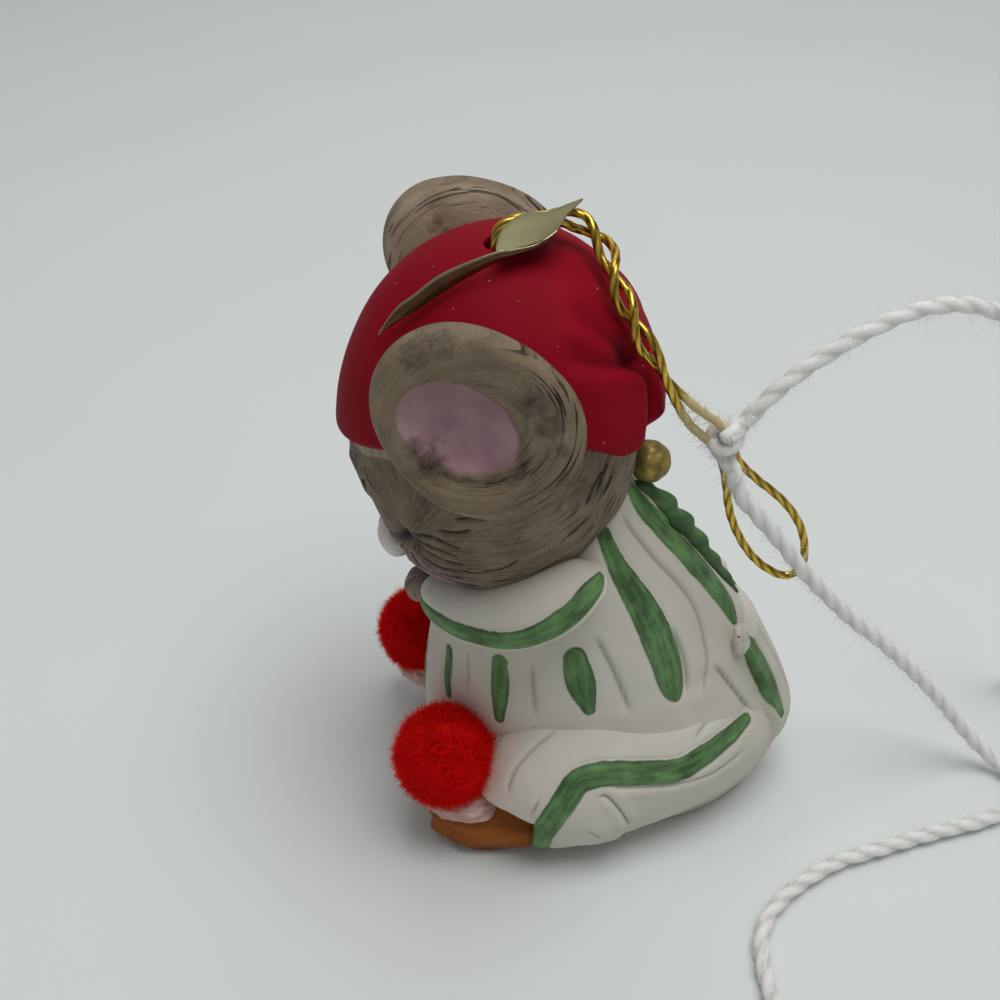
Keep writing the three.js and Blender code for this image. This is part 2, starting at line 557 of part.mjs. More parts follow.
const ruffleFoot = bodyShare(RUFFLE_FOOT);
const ruffleTop = bodyShare(RUFFLE_TOP);
const ruffleSteps = 5 * RUFFLE_SCALLOPS;
const rufflePath = Array.from({ length: ruffleSteps + 1 }, (_, i) =>
  bodyPoint(Math.PI / 2, ruffleFoot + ((ruffleTop - ruffleFoot) * i) / ruffleSteps, 0).toArray());
const ruffleRadii = Array.from({ length: ruffleSteps + 1 }, (_, i) =>
  RUFFLE_RADIUS * (1 + RUFFLE_WAVE * Math.cos((2 * Math.PI * RUFFLE_SCALLOPS * i) / ruffleSteps)));
const ruffle = limbForm(rufflePath, ruffleRadii, 1, 0, 8, ruffleSteps);
const ruffleBobble = ball(bobbleCentre, BOBBLE_RADIUS, SEAM);
place('back_ruffle', cut(ruffle, bodyBlock, headBlock, capBlock, ruffleBobble), GREEN);

const flapFace = (grow) => (r, c) => bodyPoint(
  Math.PI / 2 + THREE.MathUtils.degToRad(FLAP_HALF_ANGLE) * (2 * c - 1),
  bodyShare(THREE.MathUtils.lerp(FLAP_FOOT + FLAP_HEM_RISE * (2 * c - 1) ** 2, FLAP_TOP, r)), grow);
const flap = (grow) => solid(slab(6, 14, flapFace(SEAM + FLAP_THICK + grow), flapFace(SEAM - grow)));
const ruffleBlock = limbForm(rufflePath, ruffleRadii, 1, SEAM, 8, ruffleSteps);

for (const [side, sign] of [['left', 1], ['right', -1]]) {
  const handed = (v) => (sign > 0 ? v : mirrorX(v));
  const handedPath = (path) => (sign > 0 ? path : mirrorPath(path));
  const leg = (grow) => limbForm(handedPath(LEG_PATH), LEG_RADII, LEG_TALL, grow);
  const sleeve = (grow) => limbForm(handedPath(SLEEVE_PATH), SLEEVE_RADII, 1, grow, 12, 12);
  const slipperCentre = vectors(handedPath(LEG_PATH)).at(-1).add(handed(SLIPPER_OFFSET));
  const slipper = (grow) => egg(slipperCentre, SLIPPER_RADII, grow);
  const pawCentre = vectors(handedPath(SLEEVE_PATH)).at(-1).add(handed(PAW_OFFSET));
  const { radius, sink, inward, ahead } = POMPOMS.find((p) => p.side === side);
  const pompomOffset = new THREE.Vector3(-sign * inward, -ahead, SLIPPER_RADII.z + radius - sink);
  const pompomCentre = pompomOffset.add(slipperCentre);
  const pompomBall = (grow) => ball(pompomCentre, radius, grow, 16, 11);

  place(`${side}_leg`, cut(leg(0), bodyBlock, table), PYJAMAS);
  place(`${side}_sleeve`, cut(sleeve(0), bodyBlock, headBlock), PYJAMAS);
  place(`${side}_paw`, cut(ball(pawCentre, PAW_RADIUS), sleeve(SEAM), bodyBlock, headBlock), PINK);
  place(`${side}_slipper`, cut(slipper(0), leg(SEAM), bodyBlock, table), OCHRE);
  const aboveFilm = slipper(2 * SEAM + GLUE_FILM);
  place(`${side}_pompom`, cut(pompomBall(0), aboveFilm, leg(2 * SEAM), bodyBlock), RED_WOOL);
  const bead = new THREE.Vector3(0, GLUE_BACK, -GLUE_DROP).add(pompomCentre);
  const underBall = cut(pompomBall(SEAM), slipper(SEAM + GLUE_FILM));
  const glue = cut(egg(bead, GLUE_RADII), slipper(SEAM), leg(SEAM), bodyBlock, underBall);
  place(`${side}_pompom_glue`, glue, GLUE);

  const earTowards = handed(EAR_TOWARDS.clone().normalize());
  const ear = earForm(fromHead(earTowards, capRadius(earTowards) + EAR_STANDOFF), sign);
  place(`${side}_ear`, cut(ear, capBlock, headBlock), FUR);

  const buttonTurn = Math.PI / 2 - sign * THREE.MathUtils.degToRad(FLAP_HALF_ANGLE - BUTTON_INSET);
  const buttonCentre = bodyPoint(buttonTurn, bodyShare(FLAP_TOP - BUTTON_DROP), SEAM + FLAP_THICK);
  const button = cut(ball(buttonCentre, BUTTON_RADIUS), flap(SEAM), leg(SEAM), bodyBlock);
  place(`${side}_seat_button`, button, PYJAMAS);
}
const legPaths = [LEG_PATH, mirrorPath(LEG_PATH)];
const legBlocks = legPaths.map((path) => limbForm(path, LEG_RADII, LEG_TALL, SEAM));
place('seat_flap', cut(flap(0), ruffleBlock, ...legBlocks), PYJAMAS);

// The gold cord runs up one strand, round the loop and back down the other.
const upStrand = strandRoute(1);
const downStrand = strandRoute(-1).reverse();
const goldRoute = [...upStrand, ...vectors(LOOP_ROUTE), ...downStrand];
const goldCord = (grow) => cordForm(goldRoute, STRAND, grow);
place('hanger_cord', goldCord(0), GOLD_THREAD);
const stopKnotCentre = new THREE.Vector3(CROWN_X, CROWN_Y, stopKnotZ);
place('cord_stop_knot', ball(stopKnotCentre, STOP_KNOT_RADIUS), GOLD_THREAD);
place('hang_tag', tagForm(), FOIL);

place('tie_string_knot', cut(egg(KNOT_CENTRE, KNOT_RADII), goldCord(SEAM)), COTTON);
place('tie_string_upper', cordForm(vectors(UPPER_TAIL), STRING), COTTON);
place('tie_string_lower', cordForm(vectors(LOWER_TAIL), STRING), COTTON);

export default group;
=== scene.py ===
import bpy
import numpy as np
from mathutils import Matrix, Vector


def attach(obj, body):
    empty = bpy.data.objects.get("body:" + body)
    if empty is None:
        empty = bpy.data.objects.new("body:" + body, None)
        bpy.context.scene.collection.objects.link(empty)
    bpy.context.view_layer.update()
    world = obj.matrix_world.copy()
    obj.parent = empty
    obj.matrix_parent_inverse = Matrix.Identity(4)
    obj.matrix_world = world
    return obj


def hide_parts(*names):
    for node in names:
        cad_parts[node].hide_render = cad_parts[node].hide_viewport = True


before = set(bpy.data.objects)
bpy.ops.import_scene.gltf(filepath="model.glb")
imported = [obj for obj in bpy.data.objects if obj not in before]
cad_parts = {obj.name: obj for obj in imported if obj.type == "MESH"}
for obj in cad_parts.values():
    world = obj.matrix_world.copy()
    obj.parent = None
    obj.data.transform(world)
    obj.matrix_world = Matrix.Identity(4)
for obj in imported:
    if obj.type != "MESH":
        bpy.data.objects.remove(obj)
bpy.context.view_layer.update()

MM = 0.001
SIDES = (("left", 1), ("right", -1))

# Camera: above the mouse's left side, looking a little past it at the floor
VIEW_TURN = np.radians(86.8)
VIEW_RISE = np.radians(35.4)
VIEW_REACH = 141.7  # mm from the point it looks at
VIEW_POINT = np.array((0, -9.4, 38.3))
LENS = 48.46  # mm
SENSOR = 36  # mm, square
NEAREST = 0.005  # m from the lens

view_back = np.array((np.sin(VIEW_TURN) * np.cos(VIEW_RISE), -np.cos(VIEW_TURN) * np.cos(VIEW_RISE),
                      np.sin(VIEW_RISE)))
camera = bpy.data.objects.new("camera", bpy.data.cameras.new("camera"))
camera.data.lens = LENS
camera.data.sensor_width = SENSOR
camera.data.clip_start = NEAREST
camera.location = (VIEW_POINT + VIEW_REACH * view_back) * MM
camera.rotation_euler = Vector(view_back).to_track_quat("Z", "Y").to_euler()
bpy.context.scene.collection.objects.link(camera)
bpy.context.scene.camera = camera
bpy.context.scene.view_settings.view_transform = "Standard"

# Shape helpers, all in millimetres
FAR = 50.0  # stands for no stripe near
SPANS = np.linspace(0, 1, 25)  # shares at which a drawn line is taken
# Rings, and places round each, of the moulded forms
MESH = {
    "body": (222, 396), "leg": (270, 280), "sleeve": (190, 190), "seat": (100, 260), "frill": (220, 60),
    "head": (190, 380), "ear": (160, 280), "cap": (150, 360), "slipper": (80, 120), "paw": (70, 90),
    "nose": (70, 90), "button": (60, 80), "gilt ball": (80, 100), "glue": (70, 100), "pompom": (50, 70),
    "stop knot": (40, 60),
}


def through(values, t):
    """Smooth curve through evenly spaced values at shares t: a uniform Catmull-Rom cubic on each span."""
    values = np.asarray(values, float)
    x = np.clip(t, 0, 1) * (len(values) - 1)
    i = np.minimum(x.astype(int), len(values) - 2)
    f = (x - i)[..., None] if values.ndim > 1 else x - i
    a, b, c, d = (values[np.clip(i + k, 0, len(values) - 1)] for k in (-1, 0, 1, 2))
    return b + 0.5 * f * (c - a + f * (2 * a - 5 * b + 4 * c - d + f * (3 * (b - c) + d - a)))


def ease(x, low, high):
    """Smooth step from 0 at low to 1 at high: 3u^2 - 2u^3."""
    u = np.clip((x - low) / (high - low), 0, 1)
    return u * u * (3 - 2 * u)


def bell(x, width):
    """One at nought, falling off on both sides as exp of minus the square of x over the width."""
    return np.exp(-(x / width) ** 2)


def unit(v):
    """Vectors brought to length one."""
    return v / np.maximum(np.linalg.norm(v, axis=-1, keepdims=True), 1e-12)


def run_of(line):
    """Distance along a line from its start to each of its points."""
    return np.concatenate([[0], np.cumsum(np.linalg.norm(np.diff(line, axis=0), axis=1))])


def evenly(line, count):
    """The same line with its points at equal distances."""
    run = run_of(line)
    at = np.linspace(0, run[-1], count)
    return np.stack([np.interp(at, run, line[:, k]) for k in range(3)], -1)


def cord_line(points, spacing):
    """Centripetal Catmull-Rom line through route points, with a point at each spacing along it."""
    p = np.asarray(points, float)
    p = np.vstack([2 * p[0] - p[1], p, 2 * p[-1] - p[-2]])
    gap = np.sqrt(np.linalg.norm(np.diff(p, axis=0), axis=1))[:, None]
    a, b, c, d = p[:-3], p[1:-2], p[2:-1], p[3:]
    u, v, w = gap[:-2], gap[1:-1], gap[2:]
    leave = v * ((b - a) / u - (c - a) / (u + v) + (c - b) / v)
    reach = v * ((c - b) / v - (d - b) / (v + w) + (d - c) / w)
    f = np.linspace(0, 1, 30, endpoint=False)[:, None, None]
    bend = 3 * (c - b) - 2 * leave - reach
    spans = b + f * leave + f ** 2 * bend + f ** 3 * (2 * (b - c) + leave + reach)
    line = np.vstack([spans.transpose(1, 0, 2).reshape(-1, 3), p[-2:-1]])
    return evenly(line, int(run_of(line)[-1] / spacing) + 1)


def square_to(line):
    """Directions along a line and two square to it, carried from point to point with the least turning."""
    along = unit(np.gradient(line, axis=0))
    side = np.empty_like(line)
    start = np.eye(3)[np.argmin(np.abs(along[0]))]
    for i, way in enumerate(along):
        start = unit(start - way * (start @ way))
        side[i] = start
    return along, side, np.cross(along, side)


def out_of(grid):
    """Outward normals of a grid that joins up round its columns."""
    n = unit(np.cross(np.roll(grid, -1, 1) - np.roll(grid, 1, 1), np.gradient(grid, axis=0)))
    return n * np.sign(np.sum(n * (grid - grid.mean((0, 1)))))


def rings(rows, columns, low=0.0, high=1.0):
    """Shares from low to high down the rows, and turns in radians round the columns."""
    turns = np.arange(columns) * 2 * np.pi / columns
    return np.meshgrid(np.linspace(low, high, rows), turns, indexing="ij")


def way_of(turn, down):
    """Unit direction at a turn and an angle down from the crown."""
    level = np.sin(down)
    return np.stack(np.broadcast_arrays(level * np.cos(turn), level * np.sin(turn), np.cos(down)), -1)


def sphere(rows, columns, gap=0.02):
    """Directions over a ball, in rings from its top down, but for a gap of some radians at each pole."""
    down, turn = rings(rows, columns, gap, np.pi - gap)
    return way_of(turn, down)


def lump(centre, radii, way, rise):
    """Round form: its centre plus the radii times the direction times one plus the rise."""
    return np.array(centre) + way * np.array(radii) * (1 + rise)[..., None]


def to_left(points):
    """Points with those of the right side mirrored to the left."""
    return np.abs(points) * (1, 0, 0) + points * (0, 1, 1)


def waves(points, size, seed):
    """Soft unevenness, about -1 to 1: a sum of nine sine waves some size mm long in seeded directions."""
    dice = np.random.default_rng(seed)
    ways = unit(dice.normal(size=(9, 3))) * 2 * np.pi / (size * dice.uniform(0.7, 1.5, (9, 1)))
    return np.sin(points @ ways.T + dice.uniform(0, 7, 9)).sum(-1) / 4


def reach_to(points, stripes):
    """Distance to the edge of the nearest stripe (less than 0 inside), run along it and place across it.

    A stripe is a chain of straight spans; the distance is to the nearest place on a span, less the half
    width there.
    """
    edge = np.full(points.shape[:-1], FAR)
    along = np.zeros(points.shape[:-1])
    lane = np.zeros(points.shape[:-1])
    outward = points - points.mean((0, 1))
    for line, widths in stripes:
        run = run_of(line)
        for k, span in enumerate(np.diff(line, axis=0)):
            share = np.clip((points - line[k]) @ span / (span @ span), 0, 1)
            off = points - line[k] - share[..., None] * span
            gap = np.linalg.norm(off, axis=-1)
            near = gap - widths[k] - share * (widths[k + 1] - widths[k])
            nearer = near < edge
            along = np.where(nearer, run[k] + share * (run[k + 1] - run[k]), along)
            lane = np.where(nearer, gap * np.sign(np.sum(np.cross(span, off) * outward, -1)), lane)
            edge = np.minimum(edge, near)
    return edge, along, lane


# Mesh helpers
def wrap(grid, start, end):
    """Closed skin over rings of points, grid[ring, place], with a fan to a pole at each end, facing out."""
    rows, columns = grid.shape[:2]
    here = np.arange(rows * columns).reshape(rows, columns)
    beside = np.roll(here, -1, axis=1)
    quads = np.stack([here[:-1], beside[:-1], beside[1:], here[1:]], -1).reshape(-1, 4)
    pole = np.full(columns, rows * columns)
    first, last = [beside[0], here[0], pole], [here[-1], beside[-1], pole + 1]
    fans = np.concatenate([np.stack(first, -1), np.stack(last, -1)])
    points = np.vstack([grid.reshape(-1, 3), start, end])
    a, b, c, d = (points[quads[:, k]] for k in range(4))
    e, f, g = (points[fans[:, k]] for k in range(3))
    volume = np.sum(a * (np.cross(b, c) + np.cross(c, d))) + np.sum(e * np.cross(f, g))
    return (points, quads, fans) if volume > 0 else (points, quads[:, ::-1], fans[:, ::-1])


def with_poles(value):
    """Grid values as one list, then the mean of the ring beside each pole."""
    return np.concatenate([value.reshape(-1, *value.shape[2:]), value[:1].mean(1), value[-1:].mean(1)])


def poles_of(grid):
    """Points that close a round form's first and last rings."""
    return grid[0].mean(0), grid[-1].mean(0)


def leaf(grid, thick):
    """Thin sheet as rings: each row runs over the sheet's upper face and back under its lower one."""
    n = unit(np.cross(np.gradient(grid, axis=0), np.gradient(grid, axis=1))) * thick / 2
    ring = np.concatenate([grid + n, (grid - n)[:, ::-1]], axis=1)
    return wrap(ring, grid[0].mean(0), grid[-1].mean(0))


def hairs(roots, ways, lengths, radius, bend, steps=3):
    """Tapering three-sided rods from roots along ways, each drawn aside by bend times the share squared."""
    t = np.linspace(0, 1, steps + 1)[:, None]
    middle = roots[:, None] + lengths[:, None, None] * (t * ways[:, None] + t ** 2 * bend[:, None])
    side = unit(np.cross(ways, np.roll(ways, 1, axis=1) + (0.3, -0.2, 0.1)))
    turn = np.arange(3) * 2 * np.pi / 3
    ring = np.cos(turn)[:, None] * side[:, None] + np.sin(turn)[:, None] * np.cross(ways, side)[:, None]
    points = middle[:, :, None] + (radius * (1 - 0.6 * t))[:, :, None] * ring[:, None]
    here = np.arange((steps + 1) * 3).reshape(steps + 1, 3)
    beside = np.roll(here, -1, axis=1)
    first = np.arange(len(roots))[:, None, None] * here.size
    quads = np.stack([here[:-1], beside[:-1], beside[1:], here[1:]], -1).reshape(-1, 4)
    ends = np.stack([here[0, ::-1], here[-1]])
    return points.reshape(-1, 3), (first + quads).reshape(-1, 4), (first + ends).reshape(-1, 3)


def piece(name, skins, finish, slot, body="mouse", replaces=(), **values):
    """Mesh object of skins joined end to end, riding on a body; values are point attributes."""
    shift = np.cumsum([0] + [len(points) for points, _, _ in skins])
    points = np.vstack([points for points, _, _ in skins])
    quads = np.vstack([quads + k for (_, quads, _), k in zip(skins, shift)])
    fans = np.vstack([fans + k for (_, _, fans), k in zip(skins, shift)])
    corners = np.concatenate([quads.ravel(), fans.ravel()]).astype(np.int32)
    starts = np.concatenate([np.arange(len(quads)) * 4, quads.size + np.arange(len(fans)) * 3])
    mesh = bpy.data.meshes.new(name)
    mesh.vertices.add(len(points))
    mesh.vertices.foreach_set("co", (points * MM).ravel())
    mesh.loops.add(len(corners))
    mesh.loops.foreach_set("vertex_index", corners)
    mesh.polygons.add(len(starts))
    mesh.polygons.foreach_set("loop_start", starts.astype(np.int32))
    mesh.update(calc_edges=True)
    mesh.validate()
    mesh.shade_smooth()
    for key, value in values.items():
        if value.ndim > 1:
            mesh.attributes.new(key, "FLOAT_VECTOR", "POINT").data.foreach_set("vector", value.ravel())
        else:
            mesh.attributes.new(key, "FLOAT", "POINT").data.foreach_set("value", value)
    mesh.materials.append(finish)
    made = bpy.data.objects.new(name, mesh)
    bpy.context.scene.collection.objects.link(made)
    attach(made, body)
    if replaces:
        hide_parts(*replaces)
    return made


def moulded(name, grid, finish, slot, replaces, ends=None, **marks):
    """Piece whose skin is one closed grid of rings; marks are values on the grid."""
    start, end = ends or poles_of(grid)
    values = {key: with_poles(value) for key, value in marks.items()}
    return piece(name, [wrap(grid, start, end)], finish, slot, replaces=replaces, **values)


# Material helpers
def hue(code):
    """Linear colour of an sRGB hex value."""
    c = np.array([int(code[i:i + 2], 16) for i in (1, 3, 5)]) / 255
    return (*np.where(c <= 0.04045, c / 12.92, ((c + 0.055) / 1.055) ** 2.4), 1.0)


def add(tree, kind, inputs=None, **settings):
    """Adds a node with its settings; an input is linked if it is given a socket, and set if a value."""
    node = tree.nodes.new(kind)
    for key, value in settings.items():
        setattr(node, key, value)
    for key, value in (inputs or {}).items():
        if isinstance(value, bpy.types.NodeSocket):
            tree.links.new(value, node.inputs[key])
        else:
            node.inputs[key].default_value = value
    return node


class Finish:
    """Material in the making: most methods add one node and give the socket that carries its result."""

    def __init__(self, name, roughness, **fixed):
        """Starts with the values that are the same all over, which go on the shader's sockets."""
        self.material = bpy.data.materials.new(name)
        self.material.use_nodes = True
        self.tree = self.material.node_tree
        self.shader = self.tree.nodes["Principled BSDF"]
        self.place = add(self.tree, "ShaderNodeTexCoord").outputs["Object"]
        for key, value in {"Roughness": roughness, **fixed}.items():
            self.shader.inputs[key.replace("_", " ")].default_value = value

    def mark(self, name, output="Fac"):
        """Value that the mesh carries at each point."""
        return add(self.tree, "ShaderNodeAttribute", attribute_name=name).outputs[output]

    def noise(self, per_unit, detail, at=None, **more):
        """Clouds, so many to a metre of the object or to a unit of another vector."""
        vector = self.place if at is None else at
        inputs = {"Vector": vector, "Scale": per_unit, "Detail": detail, **more}
        return add(self.tree, "ShaderNodeTexNoise", inputs).outputs[0]

    def mix(self, share, first, second):
        """Colour that goes from the first to the second with the share."""
        ends = [hue(end) if isinstance(end, str) else end for end in (first, second)]
        inputs = {0: share, 6: ends[0], 7: ends[1]}
        return add(self.tree, "ShaderNodeMix", inputs, data_type="RGBA").outputs[2]

    def fit(self, value, low, high, start=0.0, end=1.0, **settings):
        """Value between low and high brought to between start and end."""
        inputs = {0: value, 1: low, 2: high, 3: start, 4: end}
        return add(self.tree, "ShaderNodeMapRange", inputs, **settings).outputs[0]

    def reckon(self, operation, *values):
        """Result of one step of arithmetic."""
        return add(self.tree, "ShaderNodeMath", dict(enumerate(values)), operation=operation).outputs[0]

    def times(self, first, second):
        """Product of two values."""
        return self.reckon("MULTIPLY", first, second)

    def plus(self, value, factor, other):
        """Value times a factor, added to another."""
        return self.reckon("MULTIPLY_ADD", value, factor, other)

    def over(self, value, limit):
        """One where the value is over the limit, else nought."""
        return self.reckon("GREATER_THAN", value, limit)

    def specks(self, spacing, inner, outer):
        """Dots in cells about spacing mm apart, and three values that differ from cell to cell."""
        cells = add(self.tree, "ShaderNodeTexVoronoi", {"Vector": self.place, "Scale": 1000 / spacing})
        luck = add(self.tree, "ShaderNodeSeparateColor", {0: cells.outputs["Color"]})
        return self.fit(cells.outputs["Distance"], inner, outer, 1.0, 0.0), luck.outputs

    def give(self, **results):
        """Links results to the shader's sockets of those names."""
        for key, result in results.items():
            self.tree.links.new(result, self.shader.inputs[key.replace("_", " ")])

    def emboss(self, strength, depth, height):
        """Fine relief, depth mm deep, on the shader's normals."""
        inputs = {"Strength": strength, "Distance": depth * MM, "Height": height}
        self.give(Normal=add(self.tree, "ShaderNodeBump", inputs).outputs[0])


def bisque_pyjamas():
    """Slip-cast porcelain fired once and left unglazed, with brushed-on underglaze stripes.

    The eye sees a chalky, faintly mottled off-white with wash caught in its folds, a few dark and red
    specks, and streaky translucent green that pools dark along the edges of each stripe. Near the pompoms
    a painted pink reflection of their red is mixed into the clay.
    """
    f = Finish("bisque porcelain, slip-cast, brushed stripes", 0.72, IOR=1.5, Specular_IOR_Level=0.25)
    edge, across = f.mark("stripe"), f.mark("lane")
    cloud = f.noise(1000 / 7, 5)
    clay = f.mix(cloud, "#d8d3c8", "#c4beb1")
    washed = f.mix(f.times(f.mark("fold"), 0.6), clay, "#635a50")
    # dyed: the clay with the blush mark mixed in, which is the painted pink reflection of the red pompoms
    dyed = f.mix(f.times(f.mark("blush"), 0.45), washed, "#d8928a")
    dot, luck = f.specks(4.2, 0.02, 0.045)
    soot = f.mix(f.over(luck[1], 0.7), "#2c2622", "#7a1c18")
    dusty = f.mix(f.times(dot, f.over(luck[0], 0.55)), dyed, soot)
    # stripes: the brush's edge wanders by a tenth of a millimetre and its hairs leave streaks
    drift = f.plus(f.noise(1000 / 1.1, 2), 0.22, edge)
    inside = f.fit(drift, 0.02, 0.2, 1.0, 0.0, interpolation_type="SMOOTHSTEP")
    hair = add(f.tree, "ShaderNodeCombineXYZ", {0: f.times(across, 1.9), 1: f.times(f.mark("along"), 0.22)})
    uneven = f.plus(f.noise(1.0, 4, at=hair.outputs[0]), 0.9, f.noise(1000 / 2.8, 3))
    green = f.mix(f.fit(uneven, 0.74, 1.16), "#1f4a19", "#5f904f")
    lean = f.plus(across, 0.09, f.noise(1000 / 6, 1))
    pool = f.times(f.fit(edge, -0.4, 0.0, 0.0, 0.95), f.fit(lean, 0.42, 0.6))
    pooled = f.mix(pool, green, "#1b3a17")
    f.give(Base_Color=f.mix(f.times(inside, 0.94), dusty, pooled), Roughness=f.fit(inside, 0, 1, 0.76, 0.5))
    f.emboss(0.6, 0.05, f.plus(cloud, 2.5, f.noise(1000 / 0.35, 3)))
    return f.material


def bisque_fur():
    """Bisque scored with a fine tool for fur, then wiped with grey-brown stain.

    The eye sees matt grey-brown, darker in long scored strokes that follow the coat, with sooty smudges
    and a mauve-pink tint inside the ears and under the chin.
    """
    f = Finish("bisque porcelain, scored and stained", 0.7, IOR=1.5, Specular_IOR_Level=0.25)
    coat = f.mark("coat", "Vector")
    cloud = f.noise(1000 / 5, 8, Roughness=0.75)
    fur = f.mix(f.fit(cloud, 0.3, 0.7), "#97866f", "#715f4d")
    hazy = f.fit(f.noise(0.55, 5, at=coat, Roughness=0.7), 0.38, 0.72, 0.0, 0.38)
    combed = f.mix(hazy, fur, "#43382e")
    blush = f.mix(f.fit(f.noise(1000 / 4, 4), 0.3, 0.7), "#b79198", "#956e79")
    chalk = f.mix(f.mark("bare"), f.mix(f.mark("tint"), combed, blush), "#b3a48e")
    sooty = f.plus(f.noise(1000 / 1.1, 7, Roughness=0.7), 1.5, f.mark("smudge"))
    smoked = f.mix(f.fit(sooty, 1.05, 1.75, 0.0, 0.9), chalk, "#2a2320")
    # strokes: a quarter of a millimetre apart and some five long, in bunches
    lines = f.noise(1.8, 2, at=coat, Roughness=0.55)
    cut = f.fit(lines, 0.55, 0.64, interpolation_type="SMOOTHSTEP")
    deep = f.times(cut, f.fit(f.noise(1000 / 5, 2), 0.3, 0.5, 0.45))
    scored = f.times(deep, f.mark("score"))
    f.give(Base_Color=f.mix(f.times(scored, 0.95), smoked, "#1d1613"))
    f.emboss(0.8, 0.08, f.plus(scored, -3.0, f.noise(1000 / 0.4, 3)))
    return f.material


def crimson_cap():
    """Bisque brushed with matt crimson stain.

    The eye sees a deep velvety red, a little uneven, with white dust on it and a line of bare clay under
    the brim; painted shade darkens its creases and the hole in its crown.
    """
    f = Finish("bisque porcelain, matt crimson stain", 0.7, IOR=1.5, Specular_IOR_Level=0.06)
    cloud = f.noise(1000 / 9, 5)
    # the fold mark lays painted shade, near black-red, in the creases and down the crown hole
    deep = f.mix(f.mark("fold"), f.mix(cloud, "#950c20", "#7c0819"), "#3c0308")
    ragged = f.plus(cloud, 0.5, f.mark("bare"))
    edged = f.mix(f.fit(ragged, 0.72, 0.8), deep, "#b7aca2")
    dot, luck = f.specks(1.7, 0.03, 0.075)
    dust = f.times(dot, f.fit(luck[0], 0.5, 0.95, 0.0, 0.65))
    grain = f.noise(1000 / 0.3, 3)
    f.give(Base_Color=f.mix(dust, edged, "#d8c8c6"), Roughness=f.fit(grain, 0, 1, 0.56, 0.7))
    f.emboss(0.5, 0.05, f.plus(cloud, 6.0, grain))
    return f.material


def stained_bisque(name, light, dark, streak, roughness):
    """Bisque brushed with one thin stain, in streaks some millimetres long.

    The eye sees uneven colour, streaked by the brush and darker where it pooled.
    """
    f = Finish(name, roughness, IOR=1.5, Specular_IOR_Level=0.25)
    slant = {"Vector": f.place, "Rotation": (0.4, 0.2, 0.7), "Scale": (1.0, 0.25, 1.0)}
    brush = f.noise(1000 / streak, 5, at=add(f.tree, "ShaderNodeMapping", slant).outputs[0])
    deep = f.mix(f.mark("fold"), f.mix(f.fit(brush, 0.3, 0.7), light, dark), "#2b211a")
    grain = f.noise(1000 / 0.35, 3)
    f.give(Base_Color=f.mix(f.mark("bare"), deep, "#bbb4a8"),
           Roughness=f.fit(grain, 0, 1, roughness - 0.1, roughness + 0.1))
    f.emboss(0.6, 0.05, grain)
    return f.material


def bronze_paint():
    """Antique gold paint brushed on bisque.

    The eye sees dull metal flake, rubbed bright on top and brown in its hollows.
    """
    f = Finish("gold bronze paint, brushed", 0.45)
    flake = f.noise(1000 / 1.4, 6, Roughness=0.7)
    worn = f.fit(flake, 0.36, 0.64)
    f.give(Base_Color=f.mix(worn, "#5f4d22", "#b09a58"), Metallic=f.fit(worn, 0, 1, 0.4, 0.9),
           Roughness=f.fit(worn, 0, 1, 0.6, 0.36))
    f.emboss(0.7, 0.1, flake)
    return f.material


def gold_thread():
    """Metallised film wound round a yellow cotton core and twisted.

    The eye sees bright gold on each turn of the film and pale yellow lint where it has worn; the brown
    between the turns is painted shade.
    """
    f = Finish("gold film thread, twisted", 0.3)
    worn = f.mark("worn")
    glint = f.noise(1000 / 0.5, 3)
    # painted shade: dark brown where the ridge mark is low, down between the plies
    wound = f.mix(f.mark("ridge"), "#59400f", f.mix(glint, "#c49828", "#f0d05c"))
    f.give(Base_Color=f.mix(worn, wound, "#c9b888"), Metallic=f.fit(worn, 0, 1, 0.85, 0.0),
           Roughness=f.fit(worn, 0, 1, 0.24, 0.9))
    f.emboss(0.5, 0.05, glint)
    return f.material


def foil_paper():
    """Gold foil on brown paper: the eye sees a champagne mirror, softly creased, and a browner back. The
    back's copper-brown also covers the whole lower leaf as a painted reflection of the red cap, and its
    rim is a painted highlight along the lower leaf's fold.
    """
    f = Finish("gold foil paper, cut and folded", 0.3)
    back = f.mark("back")
    cloud = f.noise(1000 / 2.5, 4)
    # back: the paper back, and over the whole lower leaf a painted reflection of the red cap
    both = f.mix(back, f.mix(cloud, "#858059", "#75704c"), f.mix(cloud, "#7c5a40", "#4a3022"))
    f.give(Base_Color=f.mix(f.mark("rim"), both, "#a59a7c"), Metallic=f.fit(back, 0, 1, 0.35, 0.8),
           Roughness=f.fit(back, 0, 1, 0.5, 0.24))
    f.emboss(0.3, 0.06, cloud)
    return f.material


def cotton_string():
    """Bleached cotton, spun in two soft plies.

    The eye sees matt white with shaded grooves, fine fibres and a halo of lint.
    """
    f = Finish("bleached cotton, two-ply", 0.95, IOR=1.5, Sheen_Weight=0.2, Sheen_Roughness=0.6)
    fibre = f.noise(2.2, 4, at=f.mark("lay", "Vector"), Roughness=0.7)
    f.give(Base_Color=f.mix(f.mark("ridge"), "#dddbd4", f.mix(fibre, "#fdfdfb", "#efeee9")))
    f.emboss(0.9, 0.12, fibre)
    return f.material


def red_pile():
    """Dyed acrylic pile, tumbled into a ball.

    The eye sees saturated red fuzz that differs a little from fibre to fibre; each fibre is painted lighter
    at its tip and darker at its root, painted light and shade.
    """
    f = Finish("acrylic pile, dyed red", 0.85, IOR=1.49, Specular_IOR_Level=0.1)
    bright = f.fit(f.plus(f.noise(1000 / 1.5, 3), 0.5, f.mark("shade")), 0.2, 1.1)
    f.give(Base_Color=f.mix(bright, "#e00808", "#ff1a14"))
    return f.material


